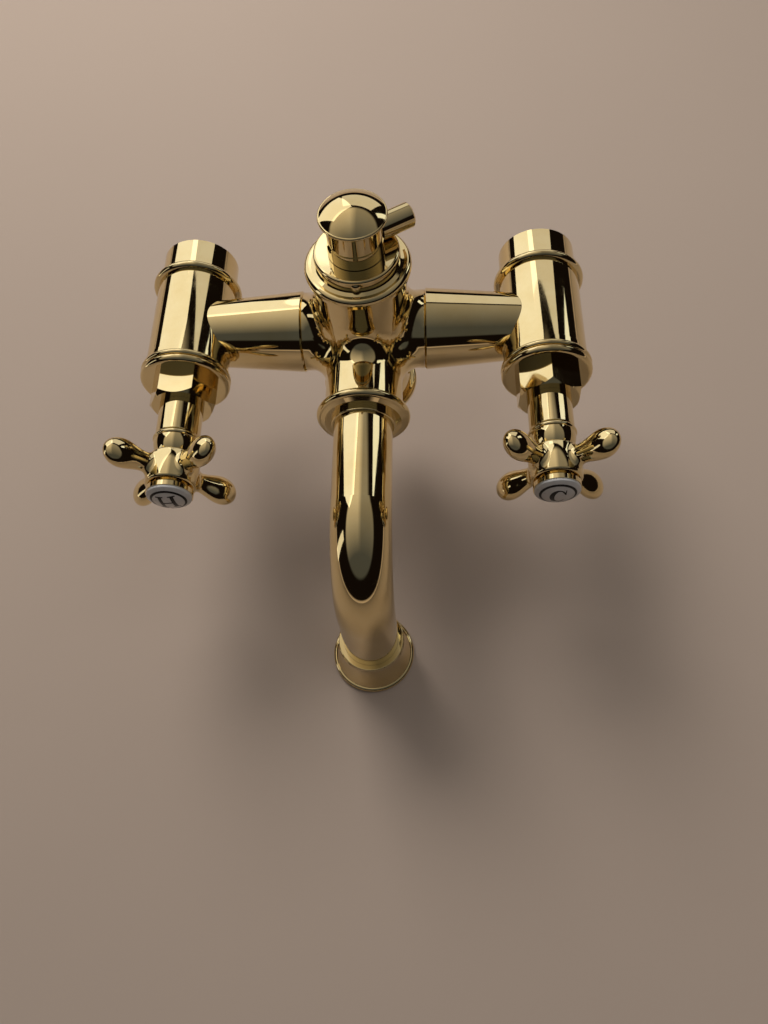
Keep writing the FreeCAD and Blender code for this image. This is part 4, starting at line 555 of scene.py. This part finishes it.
def h_outline(height):
    """Serif H as one closed outline, from its four like quarters."""
    half = height / 2
    serif = height * 0.07
    inner, outer = height * 0.20, height * 0.37
    spur_in, spur_out = height * 0.11, height * 0.46
    bar = height * 0.045
    quarter = [(inner, bar), (inner, half - serif), (spur_in, half - serif), (spur_in, half),
               (spur_out, half), (spur_out, half - serif), (outer, half - serif)]
    lower_right = [(across, -up) for across, up in reversed(quarter)]
    lower_left = [(-across, -up) for across, up in quarter]
    upper_left = [(-across, up) for across, up in reversed(quarter)]
    return quarter + lower_right + lower_left + upper_left


def oval_arc(middle, wide, high, angles):
    """Points of an oval at these angles in degrees."""
    turns = [math.radians(angle) for angle in angles]
    return [(middle + wide * math.cos(turn), high * math.sin(turn)) for turn in turns]


def c_outline(height):
    """Serif C: a crescent between two ovals with a spur at its upper end."""
    outer_high, outer_wide = height * 0.5, height * 0.39
    inner_high, inner_wide = height * 0.43, height * 0.22
    shift = height * 0.045
    opening, step = 42, 6
    outer = range(opening, 361 - opening, step)
    inner = range(360 - opening - step // 2, opening - 1, -step)
    spur_low, spur_top = height * 0.16, height * 0.49
    spur_foot, spur_tip, spur_side = height * 0.30, height * 0.305, height * 0.34
    spur = [(spur_foot, spur_low), (spur_side, spur_low), (spur_side, spur_top),
            (spur_tip, spur_top)]
    return (oval_arc(0.0, outer_wide, outer_high, outer)
            + oval_arc(shift, inner_wide, inner_high, inner) + spur)


class MIXER_OT_index_marks(bpy.types.Operator):
    """Ink the ring and the letter on both index discs"""

    bl_idname = "mixer.index_marks"
    bl_label = "Ink the index marks"

    def execute(self, context):
        marks = context.scene.mixer_marks
        letters = {"hot": (h_outline, marks.hot_lean), "cold": (c_outline, 0.0)}
        for side, (outline_of, lean) in letters.items():
            turn = Matrix.Rotation(-lean, 3, "Y")
            letter = bmesh.new()
            outline = outline_of(marks.height)
            points = (turn @ Vector((across, 0, up)) for across, up in outline)
            letter.faces.new([letter.verts.new(point) for point in points])
            slice_up(letter, marks.cell, marks.height)
            self.ink(marks, side, "letter", letter)
            self.ink(marks, side, "ring", self.ring(marks))
        return {"FINISHED"}

    def ring(self, marks):
        """Flat inked ring, with a row of points along its middle to bend at."""
        shape = bmesh.new()
        edges = (marks.ring_radius - marks.ring_width / 2, marks.ring_radius,
                 marks.ring_radius + marks.ring_width / 2)
        circles = [[shape.verts.new(point) for point in ring_outline(radius)]
                   for radius in edges]
        for inner, outer in zip(circles, circles[1:]):
            for index in range(RING_STEPS):
                after = (index + 1) % RING_STEPS
                shape.faces.new((inner[index], inner[after], outer[after], outer[index]))
        return shape

    def ink(self, marks, side, name, shape):
        """Lay a flat mark on one side's disc and let it ride on the handle."""
        disc = frame["nodes"][f"{side}_index_disc"]
        low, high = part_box(f"{side}_index_disc")
        centre = (Vector(low) + Vector(high)) / 2
        lay_on(shape, disc, centre, marks.ink_depth)
        new_piece(f"{side}_{name}", shape, "ink", f"{side}_handle")


def soft_box(name, box, glow):
    """Rectangular area lamp that faces the mixer; its glow is the brightness of its face."""
    wide, high = box["size"]
    lamp = bpy.data.lights.new(name, "AREA")
    lamp.shape = "RECTANGLE"
    lamp.size, lamp.size_y = wide, high
    lamp.energy = glow * math.pi * wide * high
    lamp.color = box["tint"]
    place = bpy.data.objects.new(name, lamp)
    place.location = AIM + Vector(box["way"]).normalized() * box["distance"]
    place.rotation_mode = "QUATERNION"
    place.rotation_quaternion = (AIM - place.location).to_track_quat("-Z", "Y")
    place.visible_glossy = box["mirrored"]
    bpy.context.scene.collection.objects.link(place)


class MIXER_OT_stage(bpy.types.Operator):
    """Set up the floor, the soft light and the photograph's camera"""

    bl_idname = "mixer.stage"
    bl_label = "Set the stage"

    def execute(self, context):
        stage = context.scene.mixer_stage
        context.scene.view_settings.view_transform = "Standard"
        self.floor(stage)
        self.world(context.scene, stage)
        for name, box in SOFT_BOXES.items():
            soft_box(name, box, getattr(stage, box["glow"]))
        self.camera(context.scene)
        return {"FINISHED"}

    def floor(self, stage):
        """Plain floor that touches the lowest point of the mixer."""
        half, height = FLOOR_HALF, CAD_BOX[0][2]
        shape = bmesh.new()
        corners = ((-half, -half), (half, -half), (half, half), (-half, half))
        shape.faces.new([shape.verts.new((x, y, height)) for x, y in corners])
        mesh = bpy.data.meshes.new("floor")
        shape.to_mesh(mesh)
        shape.free()
        floor = bpy.data.objects.new("floor", mesh)
        bpy.context.scene.collection.objects.link(floor)
        material, tree, shader, place = new_material("floor_plaster", stage.floor)
        cloud = noise(tree, place, scale=3.0, detail=5.0, roughness=0.6)
        paint(tree, shader, cloud, stage.floor, scaled(stage.floor, 0.94))
        shader.inputs["Roughness"].default_value = 0.9
        mesh.materials.append(material)

    def world(self, scene, stage):
        """Even light for dull surfaces, a room for metal to mirror, a pale backdrop behind."""
        world = bpy.data.worlds.new("studio")
        world.use_nodes = True
        scene.world = world
        tree = world.node_tree
        tree.nodes.clear()
        even = add_node(tree, "ShaderNodeBackground", {"Color": stage.room, "Strength": 1.0})
        direction = add_node(tree, "ShaderNodeTexCoord").outputs["Generated"]
        parts = add_node(tree, "ShaderNodeSeparateXYZ", {"Vector": direction}).outputs
        # The mirrored ceiling is bright behind the mixer, most of all to the left.
        behind = ramp(tree, parts["Y"], low=-0.6, high=0.6, start=0.0, end=1.0)
        leftward = ramp(tree, parts["X"], low=-0.12, high=0.10, start=1.0, end=0.33)
        share = calc(tree, "MULTIPLY", behind, leftward)
        ceiling = blend_colours(tree, share, stage.ceiling_front, stage.ceiling_back)
        # It begins high up. Under it the room is dark, and below the horizon is the floor.
        tilt = calc(tree, "MULTIPLY", parts["Y"], CEILING_TILT)
        height = calc(tree, "SUBTRACT", parts["Z"], tilt)
        rise = ramp(tree, height, low=0.62, high=0.68, start=0.0, end=1.0)
        shade = blend_colours(tree, rise, stage.dark_room, ceiling)
        below = ramp(tree, parts["Z"], low=-0.05, high=-0.01, start=1.0, end=0.0)
        shade = blend_colours(tree, below, shade, stage.floor)
        room = add_node(tree, "ShaderNodeBackground", {"Color": shade, "Strength": 1.0})
        path = add_node(tree, "ShaderNodeLightPath")
        mixed = add_node(tree, "ShaderNodeMixShader", {"Fac": path.outputs["Is Glossy Ray"]})
        tree.links.new(even.outputs[0], mixed.inputs[1])
        tree.links.new(room.outputs[0], mixed.inputs[2])
        # What the camera sees past the floor's edge.
        backdrop = add_node(tree, "ShaderNodeBackground",
                            {"Color": stage.backdrop, "Strength": 1.0})
        seen = add_node(tree, "ShaderNodeMixShader", {"Fac": path.outputs["Is Camera Ray"]})
        tree.links.new(mixed.outputs[0], seen.inputs[1])
        tree.links.new(backdrop.outputs[0], seen.inputs[2])
        output = add_node(tree, "ShaderNodeOutputWorld")
        tree.links.new(seen.outputs[0], output.inputs["Surface"])

    def camera(self, scene):
        """Camera at the photograph's place, from its pitch, yaw and roll."""
        pitch, yaw, roll = map(math.radians, (CAMERA_PITCH, CAMERA_YAW, CAMERA_ROLL))
        turn = Matrix.Rotation(yaw, 3, "Z")
        right = turn @ Vector((1, 0, 0))
        up = turn @ Vector((0, math.sin(pitch), math.cos(pitch)))
        forward = turn @ Vector((0, math.cos(pitch), -math.sin(pitch)))
        rolled_right = math.cos(roll) * right - math.sin(roll) * up
        rolled_up = math.sin(roll) * right + math.cos(roll) * up
        lens = bpy.data.cameras.new("photo_camera")
        lens.sensor_width = SENSOR
        lens.sensor_fit = "AUTO"
        lens.lens = SENSOR * FOCAL_PIXELS / LONG_SIDE_PIXELS
        lens.clip_start, lens.clip_end = NEAREST, FARTHEST
        camera = bpy.data.objects.new("photo_camera", lens)
        axes = Matrix((rolled_right, rolled_up, -forward)).transposed()
        camera.matrix_world = Matrix.Translation(CAMERA_PLACE) @ axes.to_4x4()
        scene.collection.objects.link(camera)
        scene.camera = camera


class MIXER_PT_panel(bpy.types.Panel):
    """Sidebar panel with the steps and their settings"""

    bl_idname = "MIXER_PT_panel"
    bl_label = "Bath Mixer"
    bl_space_type = "VIEW_3D"
    bl_region_type = "UI"
    bl_category = "Bath Mixer"

    def draw(self, context):
        for operator in OPERATORS:
            self.layout.operator(operator.bl_idname)
        for name in SETTINGS:
            settings = getattr(context.scene, name)
            for field in settings.bl_rna.properties.keys():
                if field not in ("rna_type", "name"):
                    self.layout.prop(settings, field)


SETTINGS = {
    "mixer_finish": FinishSettings,
    "mixer_marks": MarkSettings,
    "mixer_stage": StageSettings,
}
OPERATORS = (
    MIXER_OT_cad_finish,
    MIXER_OT_outlet_thread,
    MIXER_OT_index_marks,
    MIXER_OT_stage,
)


def register():
    for name, settings in SETTINGS.items():
        bpy.utils.register_class(settings)
        setattr(bpy.types.Scene, name, bpy.props.PointerProperty(type=settings))
    for operator in OPERATORS:
        bpy.utils.register_class(operator)
    bpy.utils.register_class(MIXER_PT_panel)


def unregister():
    bpy.utils.unregister_class(MIXER_PT_panel)
    for operator in reversed(OPERATORS):
        bpy.utils.unregister_class(operator)
    for name, settings in reversed(SETTINGS.items()):
        delattr(bpy.types.Scene, name)
        bpy.utils.unregister_class(settings)


def main():
    register()
    bpy.ops.mixer.cad_finish()
    bpy.ops.mixer.outlet_thread()
    bpy.ops.mixer.index_marks()
    bpy.ops.mixer.stage()


if __name__ == "__main__":
    main()
